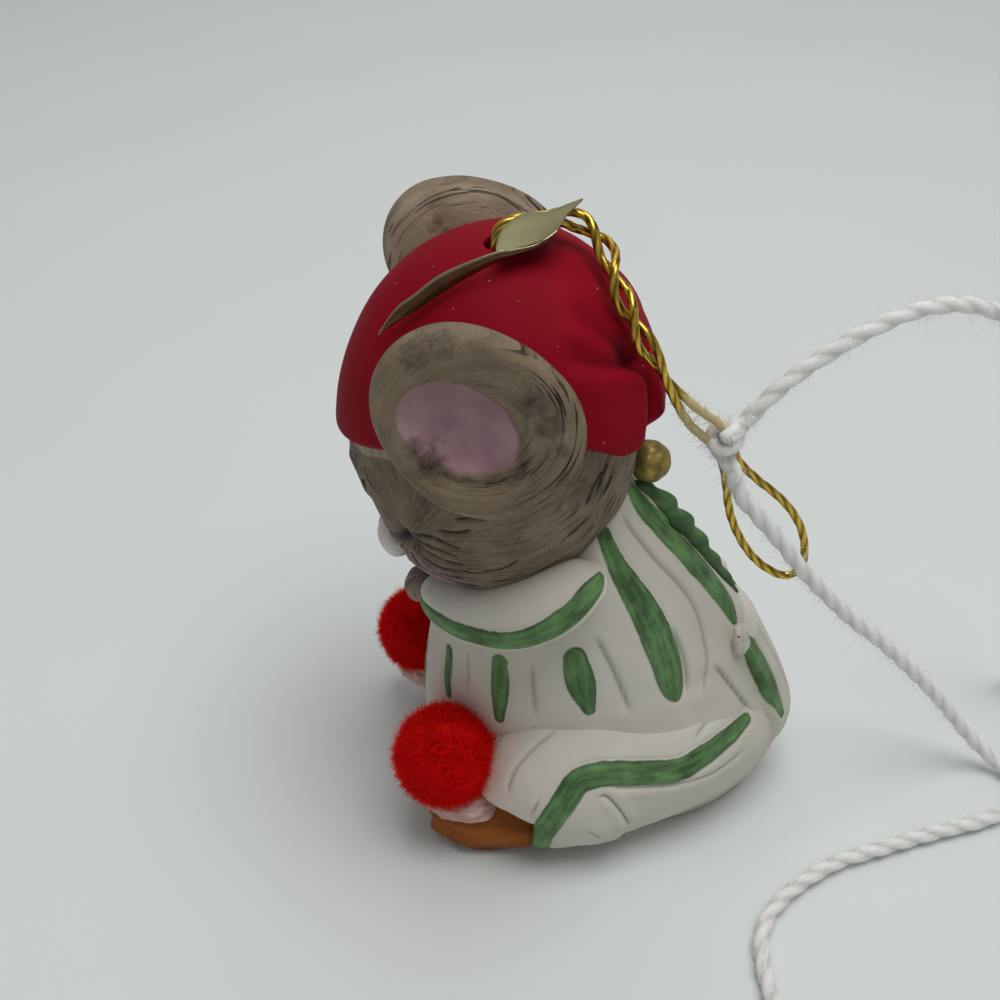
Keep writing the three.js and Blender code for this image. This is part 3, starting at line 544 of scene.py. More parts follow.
def hot_glue():
    """Clear hot-melt glue, set in a bead: the eye sees a milky, waxy lump, whose pink tint is a painted
    reflection of the red pile.
    """
    f = Finish("hot-melt glue, set", 0.35, IOR=1.48, Subsurface_Weight=0.35, Subsurface_Scale=0.002)
    cloud = f.noise(1000 / 2, 4)
    # pink in the base colour: painted reflection of the red pile
    f.give(Base_Color=f.mix(cloud, "#d3bcb0", "#c08f86"), Roughness=f.fit(cloud, 0, 1, 0.25, 0.5))
    f.emboss(0.5, 0.2, cloud)
    return f.material


def pale_card():
    """Matt white card, lightly fibrous: the eye sees an even pale grey ground that takes a soft shadow."""
    f = Finish("white card, matt", 0.85, IOR=1.45)
    f.give(Base_Color=f.mix(f.noise(1000 / 60, 3), "#e0e4e2", "#dbdfdd"))
    return f.material


PYJAMAS = bisque_pyjamas()
FUR = bisque_fur()
CRIMSON = crimson_cap()
GREEN = stained_bisque("bisque porcelain, green stain", "#62845a", "#35582f", 1.6, 0.62)
PINK = stained_bisque("bisque porcelain, pink flesh stain", "#a38f84", "#83706a", 1.8, 0.7)
WHITE = stained_bisque("bisque porcelain, pale grey stain", "#e6e2d8", "#d2cdc2", 2.2, 0.66)
OCHRE = stained_bisque("bisque porcelain, ochre stain", "#aa5d07", "#7d3f03", 2.4, 0.5)
BRONZE = bronze_paint()
GOLD = gold_thread()
FOIL = foil_paper()
COTTON = cotton_string()
PILE = red_pile()
GLUE = hot_glue()

# Gold hanging cord: a doubled strand out of the crown, then an open loop
STRAND = 0.9
STRAND_PLIES = 3
STRAND_PITCH = 6.5
STRAND_DIP = 0.16  # share of the radius between two plies
STRAND_FACETS = 20
STRAND_SPACING = 1.36
STRAND_STEP = 0.14
PAIR_TURNS = 2
PAIR_TWIST_START = 0.4
PAIR_ROUTE = [
    (2.2, -10, 63.2), (2.2, -10, 66), (2.2, -10, 68.5), (2.3, -9.4, 70.0), (2.0, -7.9, 70.5),
    (1.6, -6.0, 70.5), (1.1, -3.8, 70.4), (1.0, -1.8, 69.7), (2.4, -0.2, 68.5), (5.2, 0.6, 66.7),
    (7.3, 1.7, 64.2), (8.5, 3.1, 61.6), (8.5, 4.5, 59.2), (8.0, 5.8, 56.6),
]
LOOP_ROUTE = [
    (7.2, 8.4, 51.6), (6.6, 10.8, 48.9), (6.3, 12.2, 46.4), (6.0, 12.9, 43.8), (5.8, 13.6, 40.4),
    (5.6, 14.7, 37.4), (5.4, 16.7, 34.0), (5.2, 18.9, 31.8), (5.0, 20.8, 30.8), (5.0, 22.2, 31.6),
    (5.1, 22.4, 33.6), (5.2, 21.7, 36.8), (5.4, 20.2, 39.6), (5.7, 18.2, 42.0), (6.0, 15.9, 44.2),
    (6.3, 13.7, 46.8), (6.5, 12.9, 49.0), (6.8, 11.2, 51.4), (7.3, 9.0, 53.4),
]
STOP_KNOT = np.array((2.2, -10, 60.9))
STOP_KNOT_POLE = np.array((0, 0, 1.6))
STOP_KNOT_RADIUS = 1.55
STOP_KNOT_SWELL = 0.35
WORN_PLACES = [(7.2, 8.4, 51.6), (7.3, 9.0, 53.4), (6.9, 9.8, 50.2), (6.8, 11.2, 51.4)]
WORN_REACH = (3.0, 1.2)  # mm from such a place where wear sets in and is full
GOLD_LINT = 260  # stray fibres, most of them where the film has worn
LINT_LENGTHS = (0.4, 1.1)
LINT_RADIUS = 0.03
LINT_ELSEWHERE = 0.004  # odds of a fibre where nothing is worn


def strand_route(side):
    """One strand of the pair: it follows the pair's route and winds round it over the last part."""
    spans = 2 * (len(PAIR_ROUTE) - 1)
    line = cord_line(PAIR_ROUTE, 0.05)
    run, corners = run_of(line), np.asarray(PAIR_ROUTE)
    knots = run[np.argmin(np.linalg.norm(line[:, None] - corners, axis=-1), axis=0)]
    share = np.arange(spans + 1) / spans
    at = np.interp(share * (len(PAIR_ROUTE) - 1), np.arange(len(PAIR_ROUTE)), knots)
    middle = np.stack([np.interp(at, run, line[:, k]) for k in range(3)], -1)
    along = unit(np.stack([np.interp(at, run, g) for g in np.gradient(line, axis=0).T], -1))
    across = unit(np.array((1, 0, 0)) - along * along[:, :1])
    start = 0 if side > 0 else np.pi
    turn = (2 * np.pi * PAIR_TURNS * ease(share, PAIR_TWIST_START, 1) + start)[:, None]
    return middle + STRAND_SPACING / 2 * (np.cos(turn) * across + np.sin(turn) * np.cross(along, across))


def twisted(line, radius, plies, pitch, dip, columns):
    """Tube along a line whose section has a lobe for each ply and turns once in each pitch.

    Radius = mean times (1 - dip + dip * |cos(plies/2 * (turn - 2 pi run / pitch))|); gives the skin and
    how far each point is up its ply, the turn along the ply and the run.
    """
    _, side, over = square_to(line)
    run = run_of(line)[:, None]
    turn = np.arange(columns)[None] * 2 * np.pi / columns
    ply = turn - 2 * np.pi * run / pitch
    ridge = np.abs(np.cos(ply * plies / 2))
    reach = (radius * (1 - dip + dip * ridge))[..., None]
    ring = np.cos(turn)[..., None] * side[:, None] + np.sin(turn)[..., None] * over[:, None]
    return wrap(line[:, None] + reach * ring, line[0], line[-1]), ridge, ply, run + 0 * turn


gold_line = cord_line(np.vstack([strand_route(1), LOOP_ROUTE, strand_route(-1)[::-1]]), STRAND_STEP)
gold_skin, gold_ridge, _, _ = twisted(gold_line, STRAND / 2, STRAND_PLIES, STRAND_PITCH, STRAND_DIP,
                                        STRAND_FACETS)
worn_gaps = [np.linalg.norm(gold_line - place, axis=1) for place in np.array(WORN_PLACES)]
gold_worn = np.max([ease(gap, *WORN_REACH) for gap in worn_gaps], axis=0)
dice = np.random.default_rng(5)
lint_odds = gold_worn + LINT_ELSEWHERE
lint_at = dice.choice(len(gold_line), GOLD_LINT, p=lint_odds / np.sum(lint_odds))
lint_way = unit(dice.normal(size=(GOLD_LINT, 3)))
lint = hairs(gold_line[lint_at] + 0.3 * lint_way, unit(lint_way + 0.8 * dice.normal(size=(GOLD_LINT, 3))),
             dice.uniform(*LINT_LENGTHS, GOLD_LINT), LINT_RADIUS, 0.25 * dice.normal(size=(GOLD_LINT, 3)))
hanger = piece(
    "gold_hanger", [gold_skin, lint], GOLD, "gold_thread", replaces=["hanger_cord"],
    ridge=np.concatenate([with_poles(gold_ridge), np.ones(len(lint[0]))]),
    worn=np.concatenate([with_poles(gold_worn[:, None] + 0 * gold_ridge), np.ones(len(lint[0]))]))


def tie_stop_knot():
    """Ball of three crossing rounds of the cord: a sphere whose radius swells with |sin| of skew turns."""
    down, turn = rings(*MESH["stop knot"], 0.05, np.pi - 0.05)
    swell = np.abs(np.sin(3 * turn + 4 * np.cos(down)))
    grid = STOP_KNOT + way_of(turn, down) * (STOP_KNOT_RADIUS + STOP_KNOT_SWELL * swell)[..., None]
    poles = (STOP_KNOT + STOP_KNOT_POLE, STOP_KNOT - STOP_KNOT_POLE)
    # ridge=swell puts painted shade between the knot's rounds
    return moulded("gold_stop_knot", grid, GOLD, "gold_thread", ["cord_stop_knot"], ends=poles,
                   ridge=swell, worn=0 * swell)


stop_knot = tie_stop_knot()

# Cotton string: its knot on the loop and two tails
STRING = 1.7
STRING_PITCH = 6.0
STRING_DIP = 0.24
STRING_FACETS = 28
STRING_STEP = 0.2
UPPER_TAIL = [
    (6.5, 13.9, 51.2), (6.3, 15.8, 53.5), (5.8, 18.2, 55.6), (5.2, 21.4, 57.7), (4.6, 25.4, 59.9),
    (3.6, 30.0, 61.3), (2.2, 35.0, 61.0), (0.6, 40.0, 58.8), (-1.0, 44.2, 54.4), (-2.4, 47.6, 47.4),
    (-3.6, 50.0, 39.0), (-4.6, 51.8, 29.0), (-5.6, 53.2, 18.6), (-6.6, 54.8, 9.0), (-8.2, 57.0, 2.8),
    (-11.2, 59.4, 0.95), (-15.4, 60.6, 0.95),
]
LOWER_TAIL = [
    (7.8, 12.9, 46.7), (8.0, 13.9, 43.8), (8.1, 15.9, 41.2), (8.0, 18.6, 37.8), (7.9, 21.4, 34.0),
    (7.3, 24.6, 30.0), (6.6, 28.4, 25.6), (5.8, 32.4, 21.6), (5.0, 37.2, 16.2), (4.4, 41.8, 10.6),
    (4.6, 46.0, 5.2), (5.6, 49.4, 1.8), (8.0, 51.4, 0.95), (11.2, 50.4, 0.95), (13.6, 46.4, 0.95),
    (15.1, 40.6, 0.95), (16.4, 35.6, 0.95), (17.7, 31.2, 0.95), (18.8, 27.4, 0.95), (20.8, 23.6, 0.95),
    (23.0, 20.4, 0.95), (25.5, 18.0, 0.95), (28.2, 16.6, 0.95), (31.0, 16.1, 0.95), (34.2, 16.0, 0.95),
    (37.4, 16.5, 0.95),
]
KNOT_CENTRE = np.array((6.6, 12.1, 49.6))
KNOT_RADIUS = 1.25
KNOT_AXIS = unit(np.array((-0.2, 0.55, -0.8)))
KNOT_TURN = 3.4 * np.pi
KNOT_HALF = 0.9
KNOT_STEP = 0.12
FUZZ_LENGTHS = (0.5, 1.4)
FUZZ_RADIUS = 0.016
FUZZ_ROOT = 0.68  # mm from the string's middle
FIBRE_RUN, FIBRE_ROUND = 1.1, 2.2  # mm to a unit along the fibres' noise, and units round the string
FRAY = 70  # fibres in the brush at a cut end
FRAY_LENGTHS = (0.5, 1.0)
FRAY_RADIUS = 0.03
FRAY_SPREAD = np.array((1, 1, 0.2))
TABLE_GAP = 0.05  # no fibre goes lower


def spun_string(name, line, seed, replaces, fuzz_per_mm=24):
    """Two-ply string along a line, with lint standing off it and a frayed brush at its end."""
    skin, ridge, ply, run = twisted(line, STRING / 2, 2, STRING_PITCH, STRING_DIP, STRING_FACETS)
    lay = np.stack([run / FIBRE_RUN, FIBRE_ROUND * np.cos(ply), FIBRE_ROUND * np.sin(ply)], -1)
    luck = np.random.default_rng(seed)
    count = int(fuzz_per_mm * run_of(line)[-1])
    along, side, over = square_to(line)
    at = luck.integers(0, len(line), count)
    turn = luck.uniform(0, 2 * np.pi, count)[:, None]
    out = np.cos(turn) * side[at] + np.sin(turn) * over[at]
    low = line[at, 2] < STRING
    out = np.where(low[:, None] & (out[:, 2:] < 0), -out, out)
    lead = luck.choice([-1, 1], (count, 1)) * along[at]
    ways = unit(0.5 * out + lead + 0.4 * luck.normal(size=(count, 3)))
    lengths = luck.uniform(*FUZZ_LENGTHS, count)
    fuzz = hairs(line[at] + FUZZ_ROOT * out, ways, lengths, FUZZ_RADIUS, 0.4 * out)
    roots = line[-1] + 0.3 * luck.normal(size=(FRAY, 3)) * (1, 1, 0.3)
    spread = unit(along[-1] + 0.5 * luck.normal(size=(FRAY, 3)) * FRAY_SPREAD)
    lengths = luck.uniform(*FRAY_LENGTHS, FRAY)
    brush = hairs(roots, spread, lengths, FRAY_RADIUS, 0.1 * luck.normal(size=(FRAY, 3)) * FRAY_SPREAD)
    for stray in (fuzz, brush):
        stray[0][:, 2] = np.maximum(stray[0][:, 2], TABLE_GAP)
    spare = len(fuzz[0]) + len(brush[0])
    return piece(name, [skin, fuzz, brush], COTTON, "cotton_string", replaces=replaces,
                 ridge=np.concatenate([with_poles(ridge), np.ones(spare)]),
                 lay=np.concatenate([with_poles(lay), np.zeros((spare, 3))]))


def string_knot_line(lower, upper):
    """Two turns round the gold loop: a helix, led in by the lower tail and out by the upper."""
    side = unit(np.cross(KNOT_AXIS, (1, 0, 0)))
    turn = np.linspace(0.2, 0.2 + KNOT_TURN, 12)[:, None]
    drop = np.linspace(KNOT_HALF, -KNOT_HALF, 12)[:, None]
    round_loop = np.cos(turn) * side + np.sin(turn) * np.cross(KNOT_AXIS, side)
    helix = KNOT_CENTRE + KNOT_RADIUS * round_loop + drop * KNOT_AXIS
    return cord_line(np.vstack([lower[6], lower[0], helix, upper[0], upper[6]]), KNOT_STEP)


lower_line = cord_line(LOWER_TAIL, STRING_STEP)
upper_line = cord_line(UPPER_TAIL, STRING_STEP)
lower_string = spun_string("string_lower_tail", lower_line, 11, ["tie_string_lower"])
upper_string = spun_string("string_upper_tail", upper_line, 12, ["tie_string_upper"])
knot_line = string_knot_line(lower_line, upper_line)
string_knot = spun_string("string_knot", knot_line, 13, ["tie_string_knot"], fuzz_per_mm=30)

# Body: level ovals, with pleats, stripes and a pour hole in the base
BODY = {"height": 42, "front": 18, "back": 24.1, "half": 13.8}
BODY_SHARES = {
    "height": (0, 0.095, 0.214, 0.357, 0.571, 0.762, 0.905, 1),
    "front": (0.806, 0.956, 1, 1, 0.922, 0.733, 0.5, 0.278),
    "back": (0.871, 0.963, 1, 0.913, 0.722, 0.49, 0.282, 0.116),
    "half": (0.833, 0.957, 1, 0.986, 0.899, 0.739, 0.522, 0.254),
}
VENT_RADIUS = 4
VENT_Y = 9
VENT_TOP = 7.5
VENT_WALL = (6, 0.5)  # heights of the rings up the hole's wall
BASE_LIFT = (0, 0, 0.02)
BASE_FLAT = (0.97, 0.97, 1)  # share of the foot's outline that lies flat
# Stripes and pleats on the left side, as turns from the left (degrees) and heights, and half widths (mm)
BODY_STRIPES = [
    ((-65, -63.5, -62), (22.5, 19.6, 16.7), (0.55, 0.65, 0.5)),
    ((-38, -37, -37), (24.2, 20.9, 17.0), (0.95, 1.05, 0.6)),
    ((-8.5, -7.2, -5.5), (26.2, 23.2, 19.9), (1.25, 1.6, 0.7)),
    ((-92, -90, -89), (21, 16, 11.8), (0.35, 0.4, 0.3)),
    ((15, 19, 24, 26, 25, 25), (38.4, 34.9, 31.3, 26.1, 21.7, 20.0), (0.8, 1.15, 1.6, 1.85, 1.5, 0.5)),
    ((75, 67, 69, 72, 74, 73, 70), (41.2, 38.7, 35.9, 32.3, 28.8, 26.3, 24.6),
     (0.9, 1.4, 1.75, 1.95, 1.9, 1.6, 0.9)),
]
# Pleats from the top down, each with its drop in front of the line and the depth of the line itself
BODY_PLEATS = [
    ((85, 78, 72, 81, 89, 90), (41, 39.5, 37.9, 35.7, 33.1, 25.4), 0.35, 0.12),
    ((40, 44, 51, 52, 47, 44, 35), (40.1, 36, 31.5, 28.6, 24.9, 22.9, 18.8), 0.45, 0.14),
    ((45, 48, 52, 54), (22.6, 20, 15.5, 12.5), 0.5, 0.2),
    ((35, 34, 30), (28.5, 23.8, 19.5), 0.35, 0.16),
    ((1, 6, 9), (29.2, 24.5, 18.6), 0.35, 0.16),
    ((-24, -23), (25.5, 18), 0.3, 0.14),
    ((-53, -50), (24.5, 18), 0.3, 0.14),
]
PLEAT_FALL = 2.4
PLEAT_EDGE = 0.4
PLEAT_FADE = 2
PLEAT_SCORE = 0.16  # half width of the scored line
BRUSH_RISE = 0.12  # a stripe stands up so far, and is scored as deep along its edge


def body_level(key, t):
    """Size of the body's section at share t."""
    return BODY[key] * through(BODY_SHARES[key], t)


def body_place(turn, t, grow=0.0):
    """Point of the level oval at share t, grown all round.

    Across it is half the width times cos turn; along it is the middle plus half the length times sin turn.
    """
    front, back = -body_level("front", t) - grow, body_level("back", t) + grow
    across = (body_level("half", t) + grow) * np.cos(turn)
    along = (front + back) / 2 + (back - front) / 2 * np.sin(turn)
    return np.stack([across, along, body_level("height", t)], -1)


def body_share(height):
    """Share of the body's section list at a height."""
    t = np.linspace(0, 1, 500)
    return np.interp(height, body_level("height", t), t)


def on_body(turns, heights, grow=0.0):
    """Line on the body through places given by turn in degrees and height."""
    return body_place(np.radians(through(turns, SPANS)), body_share(through(heights, SPANS)), grow)


def banded(stripes, place):
    """Stripes as lines of short spans with their half widths."""
    return [(place(a, b), through(w, SPANS)) for a, b, w in stripes]


def brushed(edge):
    """Relief of a stripe: a smooth step up inside it, less a bell-shaped groove along its edge."""
    return BRUSH_RISE * ease(edge, 0.1, -0.6) - BRUSH_RISE * bell(edge - 0.12, 0.2)


def left_turn(turn):
    """Turn in degrees from the side of the body, the same on left and right: -90 in front and 90 behind."""
    return np.degrees(np.arctan2(np.sin(turn), np.abs(np.cos(turn))))


def pleated(turn, height, girth, pleats):
    """Relief of pleats: in front of each line the cloth drops and comes back, and the line is scored.

    Gives the relief and how deep in a scored line each point lies.
    """
    relief = np.zeros_like(turn)
    depth = np.zeros_like(turn)
    for turns, heights, drop, score in pleats:
        t = np.linspace(0, 1, 40)
        lines, levels = through(turns, t), through(heights, t)
        order = np.argsort(levels)
        ahead = (np.interp(height, levels[order], lines[order]) - turn) * girth
        low, high = levels.min(), levels.max()
        shown = ease(height, low, low + PLEAT_FADE) * ease(height, high, high - PLEAT_FADE)
        cut = bell(ahead - 0.2, PLEAT_SCORE)
        fall = ease(ahead, -PLEAT_EDGE, PLEAT_EDGE) * np.exp(-np.maximum(ahead, 0) / PLEAT_FALL)
        relief -= shown * (drop * fall + score * cut)
        depth = np.maximum(depth, shown * cut * score / 0.2)
    return relief, depth


POMPOMS = {"left": ((11.0, -16.0, 12.1), 5.9), "right": ((-11.0, -18.6, 11.6), 5.3)}
PILE_GLOW_REACH = 2.6  # mm from the pile over which the painted red reflection fades to a third
PILE_GLOW = 0.8


def painted_pile_glow(points):
    """Painted red reflection of the pompoms on the clay: pink that falls off from each pile's surface."""
    gap = [np.linalg.norm(points - np.array(at), axis=-1) - radius for at, radius in POMPOMS.values()]
    return PILE_GLOW * np.exp(-np.maximum(np.min(gap, axis=0), 0) / PILE_GLOW_REACH)


def mould_body():
    """Body from inside the pour hole over the flat base up to the neck, with relief along its normals."""
    t, turn = rings(*MESH["body"])
    plain = body_place(turn, t)
    edge, along, lane = reach_to(to_left(plain), banded(BODY_STRIPES, on_body))
    girth = np.pi / 180 * np.hypot(plain[..., 0], plain[..., 1])
    relief, depth = pleated(left_turn(turn), plain[..., 2], girth, BODY_PLEATS)
    relief = relief + brushed(edge) + 0.08 * waves(plain, 9, 1) + 0.04 * waves(plain, 3.5, 2)
    relief *= ease(plain[..., 2], 0, 1.5)
    shaped = plain + relief[..., None] * out_of(plain)
    round_hole = np.stack([np.cos(turn[0]), np.sin(turn[0]), 0 * turn[0]], -1)
    hole = np.array((0, VENT_Y, 0)) + VENT_RADIUS * round_hole
    foot = shaped[0] * (1, 1, 0) + BASE_LIFT
    base = hole + np.linspace(0, 1, 16)[:-1, None, None] * (foot * BASE_FLAT - hole)
    wall = hole + np.linspace(*VENT_WALL, 8)[:, None, None] * (0, 0, 1)
    grid = np.concatenate([wall, base, shaped])
    plain_clay = np.zeros((len(wall) + len(base), turn.shape[1]))
    bands = {"stripe": (edge, FAR), "along": (along, 0), "lane": (lane, 0), "fold": (depth, 0)}
    marks = {key: np.concatenate([plain_clay + fill, value]) for key, (value, fill) in bands.items()}
    moulded("body", grid, PYJAMAS, "pyjama_bisque", ["body_shell"],
            ends=((0, VENT_Y, VENT_TOP), shaped[-1].mean(0)), **marks, blush=painted_pile_glow(grid))


mould_body()

# Limbs: tapered rounds along a smooth path
LIMB_ROUNDING = 0.3
FOLD_TAPER = 1.5  # mm at each end where a fold line fades
LEG_PATH = [(4.5, 21, 9), (8.6, 7, 9.2), (11.8, -3, 8.6), (12, -12.5, 6.2)]
LEG_RADII = [6.0, 7.2, 6.9, 5.6]
LEG_TALL = 1.2
LEG_LIFT = 0.03  # mm off the table
SLEEVE_PATH = [(9, 1.2, 37), (12, -4.4, 34), (10.2, -11.6, 31.6), (4.8, -17.4, 30.7)]
SLEEVE_RADII = [3.2, 4.2, 3.7, 3.0]
# Lines on a limb as angles round it (degrees, 180 outward, 90 up) and shares along it
LEG_STRIPES = [((222, 196, 176, 156, 143, 142, 150, 159, 155, 145, 131),
                (0.805, 0.78, 0.745, 0.69, 0.65, 0.58, 0.48, 0.34, 0.27, 0.19, 0.13),
                (1.3, 1.3, 1.4, 1.45, 1.45, 1.4, 1.4, 1.45, 1.4, 1.15, 0.7))]
LEG_FOLDS = [
    ((96, 109, 124, 145), (0.66, 0.74, 0.8, 0.84), 0.22),
    ((147, 168), (0.74, 0.79), 0.2),
    ((75, 88), (0.78, 0.85), 0.2),
    ((96, 140), (0.13, 0.28), 0.22),
    ((153, 164, 171, 171, 161), (0.58, 0.45, 0.32, 0.21, 0.14), 0.18),
    ((160, 162, 194, 199), (0.62, 0.58, 0.52, 0.52), 0.3),
    ((185, 205), (0.66, 0.6), 0.15),
]
SLEEVE_STRIPES = [((196, 184, 184, 188, 182, 169, 156, 145, 141),
                   (0.93, 0.77, 0.66, 0.54, 0.44, 0.35, 0.28, 0.21, 0.12),
                   (0.95, 1.15, 1.2, 1.25, 1.25, 1.25, 1.2, 1.1, 0.6))]
SLEEVE_FOLDS = [((120, 150), (0.86, 0.9), 0.15), ((60, 95), (0.62, 0.7), 0.15)]
INSTEP = 8.3  # the trouser leg's hem is drawn in under this height, round the slipper
HEM_LINE = -7.0  # and in front of this y
CUFF_LINE = 0.53  # share along the leg where its front puffs out
HEM_DEPTH, CUFF_PUFF, THIGH_RISE = 3.6, 0.4, 0.6
SLEEVE_SINK, SHOULDER_SINK = 1.8, 1.0
FOLD_WIDTH = 0.14
FOLD_BANK = (0.8, 0.6)  # mm from a fold where the cloth swells, and over how much


def limb(path, radii, tall, angle, t):
    """Round of a limb, rounded at its ends: path's point plus radius times cos angle across and sin up."""
    middle = through(path, t)
    along = unit(through(path, np.clip(t + 1e-3, 0, 1)) - through(path, np.clip(t - 1e-3, 0, 1)))
    across = unit(np.cross(along, (0, 0, 1.0)))
    end = np.minimum(np.minimum(t, 1 - t) / LIMB_ROUNDING, 1)
    radius = (through(radii, t) * np.sqrt(1 - (1 - end) ** 2))[..., None]
    upward = tall * np.sin(angle)[..., None] * np.cross(across, along)
    return middle + radius * (np.cos(angle)[..., None] * across + upward)


def leg_shape(plain, angle, t):
    """Trouser leg's own form: drawn in at the slipper, puffed out low in front and fuller on the thigh."""
    degrees = np.degrees(angle)
    rise = plain[..., 2] - INSTEP - 0.4 * np.clip(HEM_LINE - plain[..., 1], 0, 2.5)
    drawn = ease(rise, 0.2, -0.9) * ease(plain[..., 1], HEM_LINE + 0.3, HEM_LINE - 0.3)
    thigh = bell(degrees - 80, 30) * ease(t, 0.4, 0.55) * ease(t, 0.95, 0.8)
    puff = ease(t, CUFF_LINE - 0.015, CUFF_LINE + 0.015) * ease(t, 0.7, 0.6) * ease(degrees, 165, 195)
    return CUFF_PUFF * puff + THIGH_RISE * thigh - HEM_DEPTH * drawn


def sleeve_shape(_, angle, t):
    """Sleeve's own form: below its stripe it sinks into the body, and its top lies flat on the shoulder."""
    turns, shares, _ = SLEEVE_STRIPES[0]
    degrees = np.degrees(angle)
    hem = np.interp(t, shares[::-1], turns[::-1])
    under = np.radians(degrees - hem) * through(SLEEVE_RADII, t) * ease(degrees, 330, 290)
    return -SLEEVE_SINK * ease(under, 1.5, 3.2) * ease(t, 0.75, 0.5) - SHOULDER_SINK * ease(t, 0.2, 0.06)


def clothed_limb(name, sign, path, radii, tall, stripes, folds, own_shape, mesh, replaces):
    """Leg or sleeve of the pyjamas: the limb's round with stripes raised and fold lines pressed in."""
    def on_limb(angles, shares):
        """Line on the limb through places given by angle in degrees and share along it."""
        return limb(path, radii, tall, np.radians(through(angles, SPANS)), through(shares, SPANS))

    t, angle = rings(*MESH[mesh], 0.003, 0.997)
    plain = limb(path, radii, tall, angle, t)
    edge, along, lane = reach_to(plain, banded(stripes, on_limb))
    relief = brushed(edge) + 0.1 * waves(plain, 8, 3) + 0.04 * waves(plain, 3, 4)
    relief = relief + own_shape(plain, angle, t)
    depth = np.zeros_like(edge)
    for angles, shares, groove in folds:
        line = on_limb(angles, shares)
        gap, run, _ = reach_to(plain, [(line, 0 * SPANS)])
        tip = ease(run, 0, FOLD_TAPER) * ease(run, run_of(line)[-1], run_of(line)[-1] - FOLD_TAPER)
        cut = tip * bell(gap, FOLD_WIDTH)
        relief += groove * (0.5 * tip * bell(gap - FOLD_BANK[0], FOLD_BANK[1]) - cut)
        depth = np.maximum(depth, 0.7 * cut)
    shaped = plain + relief[..., None] * out_of(plain)
    shaped[..., 2] = np.maximum(shaped[..., 2], LEG_LIFT)
    shaped *= (sign, 1, 1)
    moulded(name, shaped, PYJAMAS, "pyjama_bisque", replaces,
            stripe=edge, along=along, lane=lane, fold=depth, blush=painted_pile_glow(shaped))


for side, sign in SIDES:
    clothed_limb(f"{side}_trouser_leg", sign, LEG_PATH, LEG_RADII, LEG_TALL, LEG_STRIPES, LEG_FOLDS,
                 leg_shape, "leg", [f"{side}_leg"])
    clothed_limb(f"{side}_pyjama_sleeve", sign, SLEEVE_PATH, SLEEVE_RADII, 1, SLEEVE_STRIPES, SLEEVE_FOLDS,
                 sleeve_shape, "sleeve", [f"{side}_sleeve"])

# Drop seat, its buttons and the frill down the spine
FLAP_FOOT = 5
FLAP_HEM_RISE = 2
FLAP_TOP = 23.5
FLAP_HALF_ANGLE = 31
FLAP_THICK = 0.9
FLAP_CORNERS = 0.75  # less than one makes them squarer
FLAP_RIM = 0.11  # share of the flap's size over which it rises
FLAP_ROLL = (0.09, 0.045)  # place and width of the roll along its rim, as shares
FLAP_SINK = -0.3  # its edge lies so far under the body's surface
SEAM = 0.3
SEAT_STRIPES = [((65, 65, 65.5, 66, 67), (22.8, 21, 18, 14.6, 11.2), (0.9, 1.3, 1.6, 1.5, 0.6))]
SEAT_FOLDS = [((80, 84, 85), (22, 16, 10), 0.2, 0.08)]


def mould_seat():
    """Flap that rises from under the body's surface to a soft rolled rim, and lies flat within."""
    r, q = rings(*MESH["seat"], 0.012, 0.988)
    across = np.sign(np.cos(q)) * np.abs(np.cos(q)) ** FLAP_CORNERS
    over = np.sin(q)
    turn = np.pi / 2 + np.radians(FLAP_HALF_ANGLE) * across
    foot = FLAP_FOOT + FLAP_HEM_RISE * across ** 2
    height = foot + r * (FLAP_TOP - foot)
    inward = np.minimum(1 - np.abs(across), 1.1 * np.minimum(r, 1 - r))
    rim = ease(inward, 0, FLAP_RIM)
    roll = bell(inward - FLAP_ROLL[0], FLAP_ROLL[1])
    proud = FLAP_SINK + (SEAM + FLAP_THICK) * rim * (0.5 + 0.5 * ease(r, 0, 0.3))
    proud = proud + 0.3 * roll * ease(r, 0.1, 0.3) * ease(r, 0.98, 0.8)
    plain = body_place(turn, body_share(height), np.where(over > 0, proud, -0.5))
    on_flap = banded(SEAT_STRIPES, lambda a, b: on_body(a, b, FLAP_THICK))
    edge, along, lane = reach_to(to_left(plain), on_flap)
    relief, depth = pleated(left_turn(turn), plain[..., 2], np.full_like(r, 0.38), SEAT_FOLDS)
    outer = ease(over, 0.1, 0.4)
    relief = (relief + brushed(edge) + 0.08 * waves(plain, 6, 6)) * outer
    shown = np.where(over > 0.1, edge, FAR)
    moulded("drop_seat", plain + relief[..., None] * out_of(plain), PYJAMAS, "pyjama_bisque", ["seat_flap"],
            stripe=shown, along=along, lane=lane, fold=depth * outer, blush=0 * edge)


mould_seat()

BUTTON_TURN = 27  # degrees either side of the spine
BUTTON_HEIGHT = 22.8
BUTTON_RADII = (2.0, 1.1, 1.6)


def mould_button(side, sign):
    """Button: a soft lump of clay with a shallow pinch, a bell-shaped groove, across its middle."""
    centre = body_place(np.pi / 2 - sign * np.radians(BUTTON_TURN), body_share(BUTTON_HEIGHT), 0.3)
    way = sphere(*MESH["button"])
    pinch = way @ unit(np.array((sign * 0.6, 0.3, -0.7)))
    groove = bell(pinch, 0.3)
    rise = 0.06 * np.cos(3 * pinch) - 0.1 * groove + 0.06 * waves(way * 4, 3, 8)
    plain = 0 * groove
    grid = lump(centre, BUTTON_RADII, way, rise)
    moulded(f"{side}_button", grid, PYJAMAS, "pyjama_bisque", [f"{side}_seat_button"],
            stripe=FAR + plain, along=plain, lane=plain, fold=0.25 * groove, blush=plain)


for side, sign in SIDES:
    mould_button(side, sign)

RUFFLE_TOP = 40.2
RUFFLE_FOOT = 24.5
RUFFLE_SCALLOPS = 6
RUFFLE_WIDE = 1.25
RUFFLE_PROUD = 1.35
RUFFLE_SWAY = 0.15


